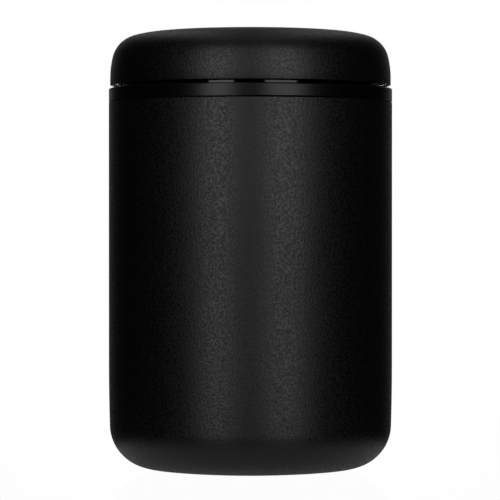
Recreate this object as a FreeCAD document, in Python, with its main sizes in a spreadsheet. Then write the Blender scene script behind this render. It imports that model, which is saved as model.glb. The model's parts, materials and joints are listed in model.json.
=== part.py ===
# Vacuum coffee canister: a drawn steel pot, and a lid whose cap is twisted to and fro to pump the air out.
# Millimetres and degrees. +Z is up along the axis of the pot; the origin is on the table under its centre.
import FreeCAD, Part
import math
import os
import Sketcher
from FreeCAD import Placement, Rotation, Vector

doc = FreeCAD.newDocument("coffee_canister")

# Driving dimensions, in the order of the pieces that they shape
SIZES = [
    ("canister_radius", 62.5, "outside of the steel pot"),
    ("canister_wall", 0.8, "drawn sheet of the pot"),
    ("rim_height", 162.0, "table to the rim of the pot"),
    ("rim_round", 0.3, "rounding of both rim edges"),
    ("side_ease_radius", 900.0, "very slow curve of the side above the corner"),
    ("side_ease_angle", 1.75, "turn of that slow curve"),
    ("corner_radius", 19.2, "round corner of the base"),
    ("base_sweep_radius", 60.0, "slow curve from the corner to the flat base"),
    ("base_sweep_angle", 8.0, "turn of that slow curve"),
    ("foot_proud", 0.4, "foot ring below the steel"),
    ("foot_thickness", 1.8, "foot ring, top to bottom"),
    ("foot_width", 7.0, "foot ring, inside to outside"),
    ("foot_inset", 0.4, "edge of the flat base to the step round the foot ring"),
    ("foot_round", 0.3, "rounding of the foot ring's lower edges"),
    ("cap_inset", 0.6, "cap inside the outline of the pot"),
    ("cap_wall", 0.8, "drawn sheet of the cap"),
    ("cap_gap", 1.4, "open line between the collar and the cap"),
    ("cap_skirt", 3.0, "straight lower edge of the cap"),
    ("cap_side_radius", 41.6, "slow curve of the side of the cap"),
    ("cap_side_angle", 13.2, "turn of that slow curve"),
    ("cap_corner_radius", 12.5, "round corner of the cap"),
    ("cap_crown_radius", 40.0, "slow curve from the corner to the flat top"),
    ("cap_crown_angle", 15.0, "turn of that slow curve"),
    ("cap_edge_round", 0.25, "rounding of the lower edge of the cap"),
    ("skirt_seat", 0.8, "cap to the skirt of the insert in it"),
    ("skirt_wall", 1.5, "skirt of the insert"),
    ("skirt_clearance", 0.6, "skirt of the insert to the lip of the neck"),
    ("skirt_recess", 0.7, "lower edge of the cap to the skirt"),
    ("collar_height", 6.0, "visible ring of the lid between pot and cap"),
    ("collar_round", 0.6, "rounding of both collar edges"),
    ("neck_height", 7.6, "neck above the collar"),
    ("neck_wall", 2.6, "neck, inside to outside"),
    ("lip_width", 1.6, "outward lip at the top of the neck"),
    ("lip_height", 2.0, "lip, top to bottom"),
    ("plug_clearance", 2.7, "plug to the inside of the pot"),
    ("plug_wall", 2.2, "wall of the plug"),
    ("plug_chamfer", 1.5, "lead-in at the foot of the plug"),
    ("plug_floor", 4.0, "floor of the plug"),
    ("gusset_depth", 7.0, "gusset inward from the plug wall"),
    ("gusset_height", 24.0, "gusset up the plug wall"),
    ("gusset_thickness", 1.6, "gusset, side to side"),
    ("gasket_drop", 5.0, "rim to the top of the gasket"),
    ("gasket_height", 9.0, "gasket, top to bottom"),
    ("gasket_back", 1.0, "plug wall left behind the gasket"),
    ("gasket_band", 1.5, "band under the gasket's fins"),
    ("gasket_fin", 1.3, "thickness of a fin at its root"),
    ("gasket_tip", 0.6, "thickness of a fin at its tip"),
    ("gasket_clearance", 0.3, "fin tips to the pot"),
    ("glide_thickness", 1.0, "glide ring on the neck"),
    ("glide_inset", 0.3, "glide ring inside the edges of the neck"),
    ("glide_clearance", 0.1, "glide ring to the turning cap"),
    ("hook_clearance", 0.6, "hooks to the neck"),
    ("hook_gap", 0.3, "hooks below the lip"),
    ("hook_height", 2.7, "hook, top to bottom"),
    ("hook_land", 1.2, "upright face of a hook"),
    ("hook_angle", 24.0, "hook, end to end round the neck"),
    ("plate_thickness", 2.5, "plate of the insert"),
    ("plate_step", 1.2, "slope of the plate's edge, inward"),
    ("well_drop", 2.1, "spring well below the plate"),
    ("well_floor", 2.0, "floor and wall of the spring well"),
    ("well_hole_clearance", 0.5, "stem to its hole in the well"),
    ("rib_thickness", 1.6, "ribs of the insert, side to side"),
    ("rib_reach_share", 0.92, "ribs, as a share of the flat top of the cap"),
    ("guide_wall", 2.4, "guide round the bezel"),
    ("guide_ledge", 1.4, "ledge under the bezel"),
    ("bezel_radius", 19.0, "outside of the bezel"),
    ("bezel_height", 8.5, "bezel, top to bottom"),
    ("bezel_lip", 2.6, "width of the bezel at its lip"),
    ("bezel_lip_height", 1.6, "lip of the bezel, top to bottom"),
    ("bezel_wall", 1.8, "width of the bezel below its lip"),
    ("bezel_round", 0.4, "rounding of the bezel's inner edge"),
    ("button_clearance", 0.3, "button to the bezel"),
    ("button_sink", 0.3, "button below the bezel"),
    ("button_disc", 2.5, "face of the button"),
    ("button_rim", 0.9, "flat rim round the hollow of the face"),
    ("button_dish", 0.8, "hollow of the face"),
    ("button_round", 0.4, "rounding of the button's edge"),
    ("button_skirt", 4.1, "skirt of the button below its shoulder"),
    ("button_skirt_wall", 1.9, "wall of that skirt"),
    ("button_travel", 3.0, "press of the button"),
    ("socket_wall", 1.6, "socket that grips the stem"),
    ("socket_depth", 6.2, "socket below the face of the button"),
    ("stem_radius", 2.8, "valve stem"),
    ("air_bore", 1.0, "air way through the stem"),
    ("head_wall", 1.1, "head of the stem round the indicator"),
    ("head_floor", 2.0, "head of the stem under the indicator"),
    ("head_stop_gap", 0.3, "head to the well when the button is pressed"),
    ("flag_radius", 2.4, "indicator where it shows"),
    ("flag_shoulder", 1.2, "piston of the indicator, out from its pin"),
    ("flag_clearance", 0.3, "indicator to what it slides in"),
    ("flag_piston", 1.8, "piston of the indicator, top to bottom"),
    ("flag_groove", 0.8, "depth of the groove for its seal"),
    ("flag_seal_cord", 0.45, "radius of the cord of its seal"),
    ("flag_spring_wire", 0.45, "wire of the indicator spring"),
    ("flag_spring_play", 0.4, "indicator spring to the wall round it"),
    ("button_spring_wire", 0.8, "wire of the button spring"),
    ("button_spring_play", 1.0, "button spring to what is inside and outside it"),
    ("poppet_thickness", 3.6, "release valve head, top to bottom"),
    ("poppet_rim", 0.95, "release valve head outside its seal"),
    ("poppet_round", 1.0, "rounding of its lower edge"),
    ("poppet_groove", 1.0, "depth of the groove for its seal"),
    ("poppet_seal_cord", 1.1, "radius of the cord of its seal"),
    ("poppet_seal_land", 0.3, "air way to that seal"),
    ("poppet_seat_gap", 0.1, "that seal to its seat"),
    ("poppet_hole_clearance", 2.0, "release valve head to the hole in the floor"),
    ("twist_angle", 90.0, "turn of the cap"),
    ("stroke", 16.0, "lift of the piston over that turn"),
    ("ear_clearance", 1.5, "ears of the cylinder to the neck that they pass"),
    ("ear_reach", 7.0, "ears outward from the cylinder"),
    ("ear_width", 7.0, "ears, side to side"),
    ("ear_thickness", 2.5, "ears, top to bottom"),
    ("cylinder_wall", 2.5, "wall of the pump cylinder"),
    ("cylinder_floor", 2.0, "floor of the pump cylinder"),
    ("cylinder_margin", 8.5, "cylinder above the raised piston"),
    ("cylinder_seal_cord", 0.75, "radius of the cord of the seal under the cylinder"),
    ("cylinder_seal_inset", 2.0, "that seal inside the bore of the cylinder"),
    ("boss_height", 6.5, "screw bosses, bottom to top"),
    ("boss_radius", 3.2, "screw bosses"),
    ("screw_radius", 1.4, "shank of the screws"),
    ("screw_bite", 7.5, "shank past what it holds"),
    ("screw_tip_gap", 0.5, "hole past the end of the shank"),
    ("screw_hole_clearance", 0.2, "shank to the hole that it passes"),
    ("screw_head_radius", 2.5, "head of the screws"),
    ("screw_head_height", 1.8, "head of the screws, top to bottom"),
    ("stem_clearance", 1.2, "stem to the bore of the post"),
    ("post_wall", 3.5, "wall of the guide post"),
    ("post_gap", 2.6, "top of the post to the spring well"),
    ("post_round", 1.2, "rounding at the foot of the post"),
    ("key_width", 3.0, "keys on the post, side to side"),
    ("key_height", 1.6, "keys out from the post"),
    ("key_clearance", 0.25, "post and keys to the piston"),
    ("piston_disc", 3.0, "disc of the piston"),
    ("piston_rest_gap", 3.0, "piston above the floor of its cylinder at rest"),
    ("piston_seal_width", 2.8, "lip seal, inside to outside"),
    ("piston_seal_gap", 0.3, "lip seal to the cylinder"),
    ("piston_seal_height", 4.2, "lip seal, top to bottom"),
    ("piston_seal_lip", 0.9, "lip of that seal"),
    ("piston_flange", 1.0, "flange of the piston under the seal"),
    ("piston_flange_reach", 1.4, "that flange, outward"),
    ("bushing_wall", 4.0, "sleeve of the piston on the post"),
    ("hub_seal_height", 4.5, "foot of that sleeve without keyways"),
    ("hub_seal_cord", 0.8, "radius of the cord of the seal in it"),
    ("hub_seal_gap", 0.15, "that seal to the post"),
    ("drum_gap", 3.45, "sleeve to the drum that carries the pins"),
    ("drum_wall", 2.8, "wall of that drum"),
    ("web_thickness", 1.8, "webs between sleeve and drum"),
    ("web_height", 12.0, "webs above the disc"),
    ("pin_radius", 2.0, "follower pins"),
    ("pin_land", 1.5, "drum above the pins"),
    ("pin_end_gap", 0.3, "pins inside the face of the drive sleeve"),
    ("drum_top_gap", 1.1, "raised drum to the spring well"),
    ("sleeve_clearance", 0.5, "drive sleeve round the drum"),
    ("sleeve_wall", 4.5, "wall of the drive sleeve"),
    ("sleeve_land", 2.5, "drive sleeve below its slots"),
    ("sleeve_foot_gap", 3.5, "drive sleeve above the raised piston"),
    ("sleeve_flange", 8.0, "flange of the drive sleeve"),
    ("sleeve_flange_thickness", 2.5, "that flange, top to bottom"),
    ("slot_clearance", 0.25, "pins to the walls of their slots"),
    ("valve_skirt", 4.6, "umbrella of a check valve"),
    ("valve_rise", 1.4, "umbrella, top to bottom"),
    ("valve_edge", 0.5, "edge of the umbrella"),
    ("valve_stalk", 1.2, "stalk of a check valve"),
    ("valve_bulb", 1.9, "bulb that holds it"),
    ("valve_bulb_height", 1.8, "bulb, top to bottom"),
    ("valve_nose_share", 0.55, "nose of the bulb, as a share of its width"),
    ("port_radius", 0.8, "air holes under the umbrella"),
    ("port_circle", 2.9, "circle of those holes"),
    ("filter_margin", 4.5, "floor of the plug round the filter"),
    ("filter_ledge", 1.3, "ledge that the filter lies on"),
    ("filter_thickness", 0.4, "filter screen"),
    ("grille_thickness", 1.2, "grille under the filter"),
    ("grille_slot_width", 1.6, "slots of the grille"),
    ("grille_slot_inner", 2.6, "slots from the middle of the grille"),
    ("grille_slot_margin", 2.0, "slots to the edge of the grille"),
    ("seat_clearance", 0.05, "pieces that are pressed together"),
    ("overrun", 1.0, "cutters past the faces that they cut"),
]

# Counts of what repeats
HOOKS = 6
RIBS = 6
GUSSETS = 8
GASKET_FINS = 3
EARS = 4
SLEEVE_SCREWS = 3
FOLLOWERS = 2
KEYS = 3
WEBS = 6
PORTS = 6
GRILLE_SLOTS = 8
BUTTON_SPRING_TURNS = 5
FLAG_SPRING_TURNS = 4

# Spans of a spring's turn that are drawn as two arcs, and points of it at which its gap is measured
SPRING_SPANS = 4
SPRING_BEADS = 16

FULL_TURN = 360.0
TOLERANCE = 1e-6

sheet = doc.addObject("Spreadsheet::Sheet", "Sizes")
for row, (alias, value, note) in enumerate(SIZES, start=1):
    sheet.set(f"A{row}", alias)
    sheet.set(f"B{row}", str(value))
    sheet.set(f"C{row}", note)
    sheet.setAlias(f"B{row}", alias)
doc.recompute()


class Size:
    """A number with the sheet expression that gives it, so that sums of sizes stay bound to the sheet."""

    def __init__(self, value, text):
        self.value = float(value)
        self.text = text

    def joined(self, sign, other, value):
        return Size(value, f"({self.text} {sign} {other.text})")

    def __add__(self, other):
        other = as_size(other)
        return self.joined("+", other, self.value + other.value)

    def __sub__(self, other):
        other = as_size(other)
        return self.joined("-", other, self.value - other.value)

    def __mul__(self, other):
        other = as_size(other)
        return self.joined("*", other, self.value * other.value)

    def __truediv__(self, other):
        other = as_size(other)
        return self.joined("/", other, self.value / other.value)

    def __rsub__(self, other):
        return as_size(other) - self

    def __rmul__(self, other):
        return as_size(other) * self


def as_size(number):
    return number if isinstance(number, Size) else Size(number, repr(float(number)))


def sine(angle):
    return Size(math.sin(math.radians(angle.value)), f"sin({angle.text})")


def cosine(angle):
    return Size(math.cos(math.radians(angle.value)), f"cos({angle.text})")


def root(number):
    return Size(math.sqrt(number.value), f"sqrt({number.text})")


class SheetSizes:
    """The cells of the sheet by name."""

    def __getattr__(self, alias):
        return Size(sheet.get(alias), f"Sizes.{alias}")


s = SheetSizes()


class Arc:
    """A round step of an outline: about a centre, with a radius, to an end."""

    def __init__(self, centre, radius, end):
        self.centre = centre
        self.radius = radius
        self.end = end


def flat_point(pair):
    return Vector(as_size(pair[0]).value, as_size(pair[1]).value, 0)


def new_body(label):
    body = doc.addObject("PartDesign::Body", label)
    body.Label = label
    return body


def origin_feature(body, role):
    return next(f for f in body.Origin.OriginFeatures if f.Role == role)


def new_sketch(body, role, name, offset=(0, 0, 0), turn=0.0):
    """A sketch on an origin plane, moved by an offset in its own axes and turned about the body's axis."""
    sketch = body.newObject("Sketcher::SketchObject", name)
    sketch.AttachmentSupport = [(origin_feature(body, role), "")]
    sketch.MapMode = "FlatFace"
    upright = Vector(0, 0, 1) if role == "XY_Plane" else Vector(0, 1, 0)
    start = Vector(*[as_size(distance).value for distance in offset])
    sketch.AttachmentOffset = Placement(start, Rotation(upright, turn))
    for axis, distance in zip("xyz", offset):
        if isinstance(distance, Size):
            sketch.setExpression(f"AttachmentOffset.Base.{axis}", distance.text)
    return sketch


def hold_point(sketch, geometry, end, pair):
    """Ties one point to its two sizes; where a size is zero, the point lies on that axis of the sketch."""
    for kind, axis_line, size in (("DistanceX", -2, pair[0]), ("DistanceY", -1, pair[1])):
        if isinstance(size, Size):
            index = sketch.addConstraint(Sketcher.Constraint(kind, -1, 1, geometry, end, size.value))
            sketch.setExpression(f"Constraints[{index}]", size.text)
        else:
            sketch.addConstraint(Sketcher.Constraint("PointOnObject", geometry, end, axis_line))


def hold_radius(sketch, geometry, radius):
    index = sketch.addConstraint(Sketcher.Constraint("Radius", geometry, radius.value))
    sketch.setExpression(f"Constraints[{index}]", radius.text)


def draw(sketch, outline):
    """Draws a closed outline: a pair of sizes is the end of a straight step, an Arc is a round one."""
    count = len(outline)
    ends = [step.end if isinstance(step, Arc) else step for step in outline]
    forward = []
    for k, step in enumerate(outline):
        a, b = flat_point(ends[k - 1]), flat_point(ends[k])
        forward.append(True)
        if isinstance(step, Arc):
            centre = flat_point(step.centre)
            forward[k] = (a - centre).cross(b - centre).z > 0
            first, last = (a, b) if forward[k] else (b, a)
            circle = Part.Circle(centre, Vector(0, 0, 1), step.radius.value)
            arc = Part.ArcOfCircle(circle, circle.parameter(first), circle.parameter(last))
            sketch.addGeometry(arc, False)
        else:
            sketch.addGeometry(Part.LineSegment(a, b), False)
    for k, step in enumerate(outline):
        before = (k - 1) % count
        leaves = 2 if forward[before] else 1
        enters = 1 if forward[k] else 2
        sketch.addConstraint(Sketcher.Constraint("Coincident", before, leaves, k, enters))
    for k, step in enumerate(outline):
        hold_point(sketch, k, 2 if forward[k] else 1, ends[k])
        if isinstance(step, Arc):
            hold_radius(sketch, k, step.radius)
    return sketch


def draw_circle(sketch, centre, radius):
    index = sketch.GeometryCount
    sketch.addGeometry(Part.Circle(flat_point(centre), Vector(0, 0, 1), radius.value), False)
    hold_point(sketch, index, 3, centre)
    hold_radius(sketch, index, radius)
    return sketch


def box_outline(left, right, bottom, top):
    return [(left, bottom), (right, bottom), (right, top), (left, top)]


def must_cut(body, name, before):
    if body.Shape.Volume >= before:
        raise RuntimeError(f"{name} cuts nothing")


def turned(body, kind, name, outline, angle=None):
    """Turns an outline of radius and height about the body's axis, all round or over a centred angle."""
    sketch = draw(new_sketch(body, "XZ_Plane", f"{name}_outline"), outline)
    feature = body.newObject(f"PartDesign::{kind}", name)
    feature.Profile = sketch
    feature.ReferenceAxis = (sketch, ["V_Axis"])
    feature.Angle = FULL_TURN
    if angle is not None:
        feature.setExpression("Angle", angle.text)
        feature.Midplane = True
    doc.recompute()
    return feature


def revolve(body, name, outline, angle=None):
    return turned(body, "Revolution", name, outline, angle)


def groove(body, name, outline):
    before = body.Shape.Volume
    feature = turned(body, "Groove", name, outline)
    must_cut(body, name, before)
    return feature


def extruded(body, kind, name, sketch, length, both_sides):
    feature = body.newObject(f"PartDesign::{kind}", name)
    feature.Profile = sketch
    feature.setExpression("Length", length.text)
    if both_sides:
        feature.SideType = "Symmetric"
    doc.recompute()
    return feature


def pad(body, name, sketch, length, both_sides=False):
    return extruded(body, "Pad", name, sketch, length, both_sides)


def pocket(body, name, sketch, length):
    """Cuts downwards from a level sketch."""
    before = body.Shape.Volume
    feature = extruded(body, "Pocket", name, sketch, length, False)
    must_cut(body, name, before)
    return feature


def repeat(body, name, features, count, sketch=None):
    """Repeats features round the axis of the body, or round the middle of a sketch."""
    pattern = body.newObject("PartDesign::PolarPattern", name)
    pattern.Originals = features
    pattern.Axis = (sketch, ["N_Axis"]) if sketch else (origin_feature(body, "Z_Axis"), [""])
    pattern.Angle = FULL_TURN
    pattern.Occurrences = count
    body.Tip = pattern
    doc.recompute()
    return pattern


def round_edges(body, name, places, radius):
    """Rounds the circular edges about the axis of the body that have these radii and heights."""
    base = body.Tip
    chosen = []
    for r, z in places:
        for k, edge in enumerate(base.Shape.Edges, start=1):
            ring = isinstance(edge.Curve, Part.Circle)
            if ring and math.hypot(edge.Curve.Radius - r.value, edge.Curve.Center.z - z.value) < TOLERANCE:
                chosen.append(f"Edge{k}")
    if len(chosen) < len(places):
        raise RuntimeError(f"{name} finds {len(chosen)} edges of {len(places)}")
    feature = body.newObject("PartDesign::Fillet", name)
    feature.Base = (base, chosen)
    feature.setExpression("Radius", radius.text)
    doc.recompute()
    return feature


def place(piece, x=0, z=0):
    """Moves a piece along X and Z by sizes."""
    for axis, distance in (("x", x), ("z", z)):
        if isinstance(distance, Size):
            piece.setExpression(f"Placement.Base.{axis}", distance.text)
    doc.recompute()
    return piece


def o_ring(label, radius, cord, z):
    ring = doc.addObject("Part::Torus", label)
    ring.Label = label
    ring.setExpression("Radius1", radius.text)
    ring.setExpression("Radius2", cord.text)
    return place(ring, z=z)


# Radii and heights that the pieces share: the lid from the pot up, then the pump from the cap down
pot_bore = s.canister_radius - s.canister_wall
collar_top = s.rim_height + s.collar_height
cap_radius = s.canister_radius - s.cap_inset
cap_bottom = collar_top + s.cap_gap
skirt_outer = cap_radius - s.cap_wall - s.skirt_seat
skirt_inner = skirt_outer - s.skirt_wall
lip_radius = skirt_inner - s.skirt_clearance
neck_radius = lip_radius - s.lip_width
neck_bore = neck_radius - s.neck_wall
neck_top = collar_top + s.neck_height
lip_bottom = neck_top - s.lip_height
plug_radius = pot_bore - s.plug_clearance
plug_bore = plug_radius - s.plug_wall
plate_bottom = neck_top + s.glide_thickness + s.glide_clearance
plate_top = plate_bottom + s.plate_thickness
well_bottom = plate_bottom - s.well_drop
well_seat = well_bottom + s.well_floor

# The guide post, the sleeve of the piston on it, the drum, and the drive sleeve round the drum
post_bore = s.stem_radius + s.stem_clearance
post_radius = post_bore + s.post_wall
key_radius = post_radius + s.key_height
bushing_bore = post_radius + s.key_clearance
bushing_radius = bushing_bore + s.bushing_wall
drum_bore = bushing_radius + s.drum_gap
drum_radius = drum_bore + s.drum_wall
sleeve_bore = drum_radius + s.sleeve_clearance
sleeve_radius = sleeve_bore + s.sleeve_wall
flange_radius = sleeve_radius + s.sleeve_flange
sleeve_screw_circle = sleeve_radius + s.sleeve_flange / 2

# A pin needs this much of its helical slot above, below and at the ends
slot_lead = s.stroke * FULL_TURN / s.twist_angle
slot_slope = slot_lead / (2 * math.pi * sleeve_bore)
slot_half = (s.pin_radius + s.slot_clearance) * root(slot_slope * slot_slope + 1)
slot_end_angle = (s.pin_radius + s.slot_clearance) / sleeve_bore * math.degrees(1)
slot_end_drop = slot_end_angle * slot_lead / FULL_TURN

drum_top = well_bottom - s.drum_top_gap - s.stroke
pin_height = drum_top - s.pin_land - s.pin_radius
sleeve_bottom = pin_height - slot_end_drop - slot_half - s.sleeve_land
piston_top = sleeve_bottom - s.sleeve_foot_gap - s.stroke
piston_bottom = piston_top - s.piston_disc
chamber_floor = piston_bottom - s.piston_rest_gap
floor_top = chamber_floor - s.cylinder_floor
floor_bottom = floor_top - s.plug_floor
post_top = well_bottom - s.post_gap

# The pump cylinder drops in through the neck, and its ears stand on the bosses of the lid base
cylinder_radius = neck_bore - s.ear_clearance - s.ear_reach
cylinder_bore = cylinder_radius - s.cylinder_wall
cylinder_top = piston_top + s.stroke + s.cylinder_margin
cylinder_seal_circle = cylinder_bore - s.cylinder_seal_inset
ear_circle = cylinder_radius + s.ear_reach - s.ear_width / 2
boss_top = floor_top + s.boss_height
seal_outer = cylinder_bore - s.piston_seal_gap
piston_radius = seal_outer - s.piston_seal_width
outlet_place = (drum_radius + piston_radius) / 2

# The release valve in the middle of the floor, and the filter between it and the seal of the cylinder
poppet_seal_circle = post_bore + s.poppet_seal_land + s.poppet_seal_cord
poppet_radius = poppet_seal_circle + s.poppet_seal_cord + s.seat_clearance + s.poppet_rim
poppet_hole = poppet_radius + s.poppet_hole_clearance
poppet_seal_height = floor_top - s.poppet_seat_gap - s.poppet_seal_cord
poppet_top = poppet_seal_height - s.poppet_seal_cord + s.poppet_groove
poppet_bottom = poppet_top - s.poppet_thickness
cylinder_seal_gland = s.cylinder_seal_cord + s.seat_clearance
filter_limit = cylinder_seal_circle - cylinder_seal_gland
inlet_place = (poppet_hole + filter_limit) / 2
filter_seat = (filter_limit - poppet_hole) / 2 - s.filter_margin
filter_radius = filter_seat - s.seat_clearance
filter_top = floor_bottom + s.grille_thickness + s.filter_thickness

# The cap, as a chain of arcs that run on from each other, and the button in the middle of its top
side_sine, side_cosine = sine(s.cap_side_angle), cosine(s.cap_side_angle)
crown_sine, crown_cosine = sine(s.cap_crown_angle), cosine(s.cap_crown_angle)
cap_straight = cap_bottom + s.cap_skirt
cap_side_centre = (cap_radius - s.cap_side_radius, cap_straight)
corner_reach = s.cap_side_radius - s.cap_corner_radius
cap_corner_centre = (
    cap_side_centre[0] + corner_reach * side_cosine,
    cap_side_centre[1] + corner_reach * side_sine,
)
crown_reach = s.cap_crown_radius - s.cap_corner_radius
cap_flat = cap_corner_centre[0] - crown_reach * crown_sine
cap_crown_centre = (cap_flat, cap_corner_centre[1] - crown_reach * crown_cosine)
cap_top = cap_crown_centre[1] + s.cap_crown_radius
cap_under = cap_top - s.cap_wall
bezel_hole = s.bezel_radius + s.seat_clearance
bezel_bottom = cap_top - s.bezel_height
bezel_lip_bottom = cap_top - s.bezel_lip_height
bezel_mouth = s.bezel_radius - s.bezel_lip
bezel_bore = s.bezel_radius - s.bezel_wall
button_top = cap_top - s.button_sink
button_under = button_top - s.button_disc

# The indicator in the head of the valve stem, and the springs
flag_piston_radius = s.flag_radius + s.flag_shoulder
flag_chamber = flag_piston_radius + s.flag_clearance
head_radius = flag_chamber + s.head_wall
head_bottom = well_seat + s.button_travel + s.head_stop_gap
flag_floor = head_bottom + s.head_floor
flag_piston_top = button_under - s.seat_clearance
flag_piston_bottom = flag_piston_top - s.flag_piston
socket_bore = head_radius + s.seat_clearance
socket_radius = socket_bore + s.socket_wall
button_spring_bore = socket_radius + s.button_spring_play
button_spring_circle = button_spring_bore + s.button_spring_wire / 2
well_bore = button_spring_bore + s.button_spring_wire + s.button_spring_play
flag_spring_circle = flag_chamber - s.flag_spring_play - s.flag_spring_wire / 2


def canister_shell():
    """One drawn sheet: straight side, round corner, and a base stepped up inside the foot ring."""
    wall = s.canister_wall
    ease_sine, ease_cosine = sine(s.side_ease_angle), cosine(s.side_ease_angle)
    sweep_sine, sweep_cosine = sine(s.base_sweep_angle), cosine(s.base_sweep_angle)
    ease_reach = s.side_ease_radius - s.corner_radius
    sweep_reach = s.base_sweep_radius - s.corner_radius
    ease_radius = s.canister_radius - s.side_ease_radius
    sweep_height = s.foot_proud + s.base_sweep_radius
    corner_centre = (ease_radius + ease_reach * ease_cosine, sweep_height - sweep_reach * sweep_cosine)
    ease_centre = (ease_radius, corner_centre[1] + ease_reach * ease_sine)
    flat = corner_centre[0] - sweep_reach * sweep_sine
    sweep_centre = (flat, sweep_height)
    step = flat - wall - s.foot_inset
    dish = s.foot_thickness

    def sweep_end(radius):
        return (sweep_centre[0] + radius * sweep_sine, sweep_centre[1] - radius * sweep_cosine)

    def corner_end(radius):
        return (corner_centre[0] + radius * ease_cosine, corner_centre[1] - radius * ease_sine)

    body = new_body("canister_shell")
    sweep_in = s.base_sweep_radius - wall
    corner_in = s.corner_radius - wall
    ease_in = s.side_ease_radius - wall
    revolve(body, "drawn_pot", [
        (0, dish),
        (step, dish),
        (step, s.foot_proud),
        (flat, s.foot_proud),
        Arc(sweep_centre, s.base_sweep_radius, sweep_end(s.base_sweep_radius)),
        Arc(corner_centre, s.corner_radius, corner_end(s.corner_radius)),
        Arc(ease_centre, s.side_ease_radius, (s.canister_radius, ease_centre[1])),
        (s.canister_radius, s.rim_height),
        (pot_bore, s.rim_height),
        (pot_bore, ease_centre[1]),
        Arc(ease_centre, ease_in, corner_end(corner_in)),
        Arc(corner_centre, corner_in, sweep_end(sweep_in)),
        Arc(sweep_centre, sweep_in, (flat, s.foot_proud + wall)),
        (step + wall, s.foot_proud + wall),
        (step + wall, dish + wall),
        (0, dish + wall),
    ])
    rim = [(s.canister_radius, s.rim_height), (pot_bore, s.rim_height)]
    round_edges(body, "rim_rounds", rim, s.rim_round)
    return body, step


def foot_ring(step):
    """Soft ring pressed into the stepped base, a little proud of it."""
    body = new_body("foot_ring")
    outer = step - s.seat_clearance
    inner = outer - s.foot_width
    outline = [
        (inner, s.foot_thickness),
        (inner, s.foot_round),
        Arc((inner + s.foot_round, s.foot_round), s.foot_round, (inner + s.foot_round, 0)),
        (outer - s.foot_round, 0),
        Arc((outer - s.foot_round, s.foot_round), s.foot_round, (outer, s.foot_round)),
        (outer, s.foot_thickness),
    ]
    revolve(body, "ring", outline)
    return body


def lid_base():
    """Collar, neck and plug in one moulding; its floor carries the pump, filter and release valve."""
    body = new_body("lid_base")
    groove_top = s.rim_height - s.gasket_drop
    groove_bottom = groove_top - s.gasket_height
    groove_floor = plug_bore + s.gasket_back
    revolve(body, "collar_neck_and_plug", [
        (poppet_hole, floor_bottom),
        (plug_radius - s.plug_chamfer, floor_bottom),
        (plug_radius, floor_bottom + s.plug_chamfer),
        (plug_radius, groove_bottom),
        (groove_floor, groove_bottom),
        (groove_floor, groove_top),
        (plug_radius, groove_top),
        (plug_radius, s.rim_height),
        (s.canister_radius, s.rim_height),
        (s.canister_radius, collar_top),
        (neck_radius, collar_top),
        (neck_radius, lip_bottom),
        (lip_radius, lip_bottom),
        (lip_radius, neck_top),
        (neck_bore, neck_top),
        (neck_bore, s.rim_height),
        (plug_bore, s.rim_height),
        (plug_bore, floor_top),
        (poppet_hole, floor_top),
    ])
    collar = [(s.canister_radius, s.rim_height), (s.canister_radius, collar_top)]
    round_edges(body, "collar_rounds", collar, s.collar_round)

    gland_bottom = floor_top - 2 * cylinder_seal_gland
    groove(body, "seal_gland", box_outline(
        cylinder_seal_circle - cylinder_seal_gland,
        cylinder_seal_circle + cylinder_seal_gland,
        gland_bottom,
        floor_top + s.overrun,
    ))

    seat = new_sketch(body, "XY_Plane", "filter_seat_outline", (inlet_place, 0, filter_top))
    draw_circle(seat, (0, 0), filter_seat)
    pocket(body, "filter_seat", seat, filter_top - floor_bottom + s.overrun)
    mouth = new_sketch(body, "XY_Plane", "filter_mouth_outline", (inlet_place, 0, floor_top))
    draw_circle(mouth, (0, 0), filter_seat - s.filter_ledge)
    pocket(body, "filter_mouth", mouth, s.plug_floor)

    boss = draw_circle(
        new_sketch(body, "XY_Plane", "boss_outline", (0, 0, floor_top)), (ear_circle, 0), s.boss_radius
    )
    bosses = [pad(body, "boss", boss, s.boss_height)]
    repeat(body, "bosses", bosses, EARS)
    hole = draw_circle(
        new_sketch(body, "XY_Plane", "boss_hole_outline", (0, 0, boss_top)),
        (ear_circle, 0),
        s.screw_radius + s.seat_clearance,
    )
    holes = [pocket(body, "boss_hole", hole, s.screw_bite + s.screw_tip_gap)]
    repeat(body, "boss_holes", holes, EARS)

    wall_middle = plug_bore + s.plug_wall / 2
    gusset = draw(new_sketch(body, "XZ_Plane", "gusset_outline", turn=FULL_TURN / GUSSETS / 2), [
        (plug_bore - s.gusset_depth, floor_top),
        (wall_middle, floor_top),
        (wall_middle, floor_top + s.gusset_height),
        (plug_bore, floor_top + s.gusset_height),
    ])
    gussets = [pad(body, "gusset", gusset, s.gusset_thickness, both_sides=True)]
    repeat(body, "gussets", gussets, GUSSETS)
    return body


def lid_gasket():
    """Finned ring that wipes the inside of the pot."""
    body = new_body("lid_gasket")
    top = s.rim_height - s.gasket_drop - s.seat_clearance
    bottom = s.rim_height - s.gasket_drop - s.gasket_height + s.seat_clearance
    back = plug_bore + s.gasket_back + s.seat_clearance
    face = back + s.gasket_band
    tip = pot_bore - s.gasket_clearance
    pitch = (top - bottom) / GASKET_FINS
    outline = [(back, top), (back, bottom), (face, bottom)]
    for k in range(GASKET_FINS):
        middle = bottom + pitch * (k + 1 / 2)
        outline += [
            (face, middle - s.gasket_fin / 2),
            (tip, middle - s.gasket_tip / 2),
            (tip, middle + s.gasket_tip / 2),
            (face, middle + s.gasket_fin / 2),
        ]
    outline.append((face, top))
    revolve(body, "fins", outline)
    return body


def glide_ring():
    """Slippery ring on top of the neck, that the cap turns on."""
    body = new_body("glide_ring")
    outline = box_outline(
        neck_bore + s.glide_inset, lip_radius - s.glide_inset, neck_top, neck_top + s.glide_thickness
    )
    revolve(body, "ring", outline)
    return body


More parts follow.
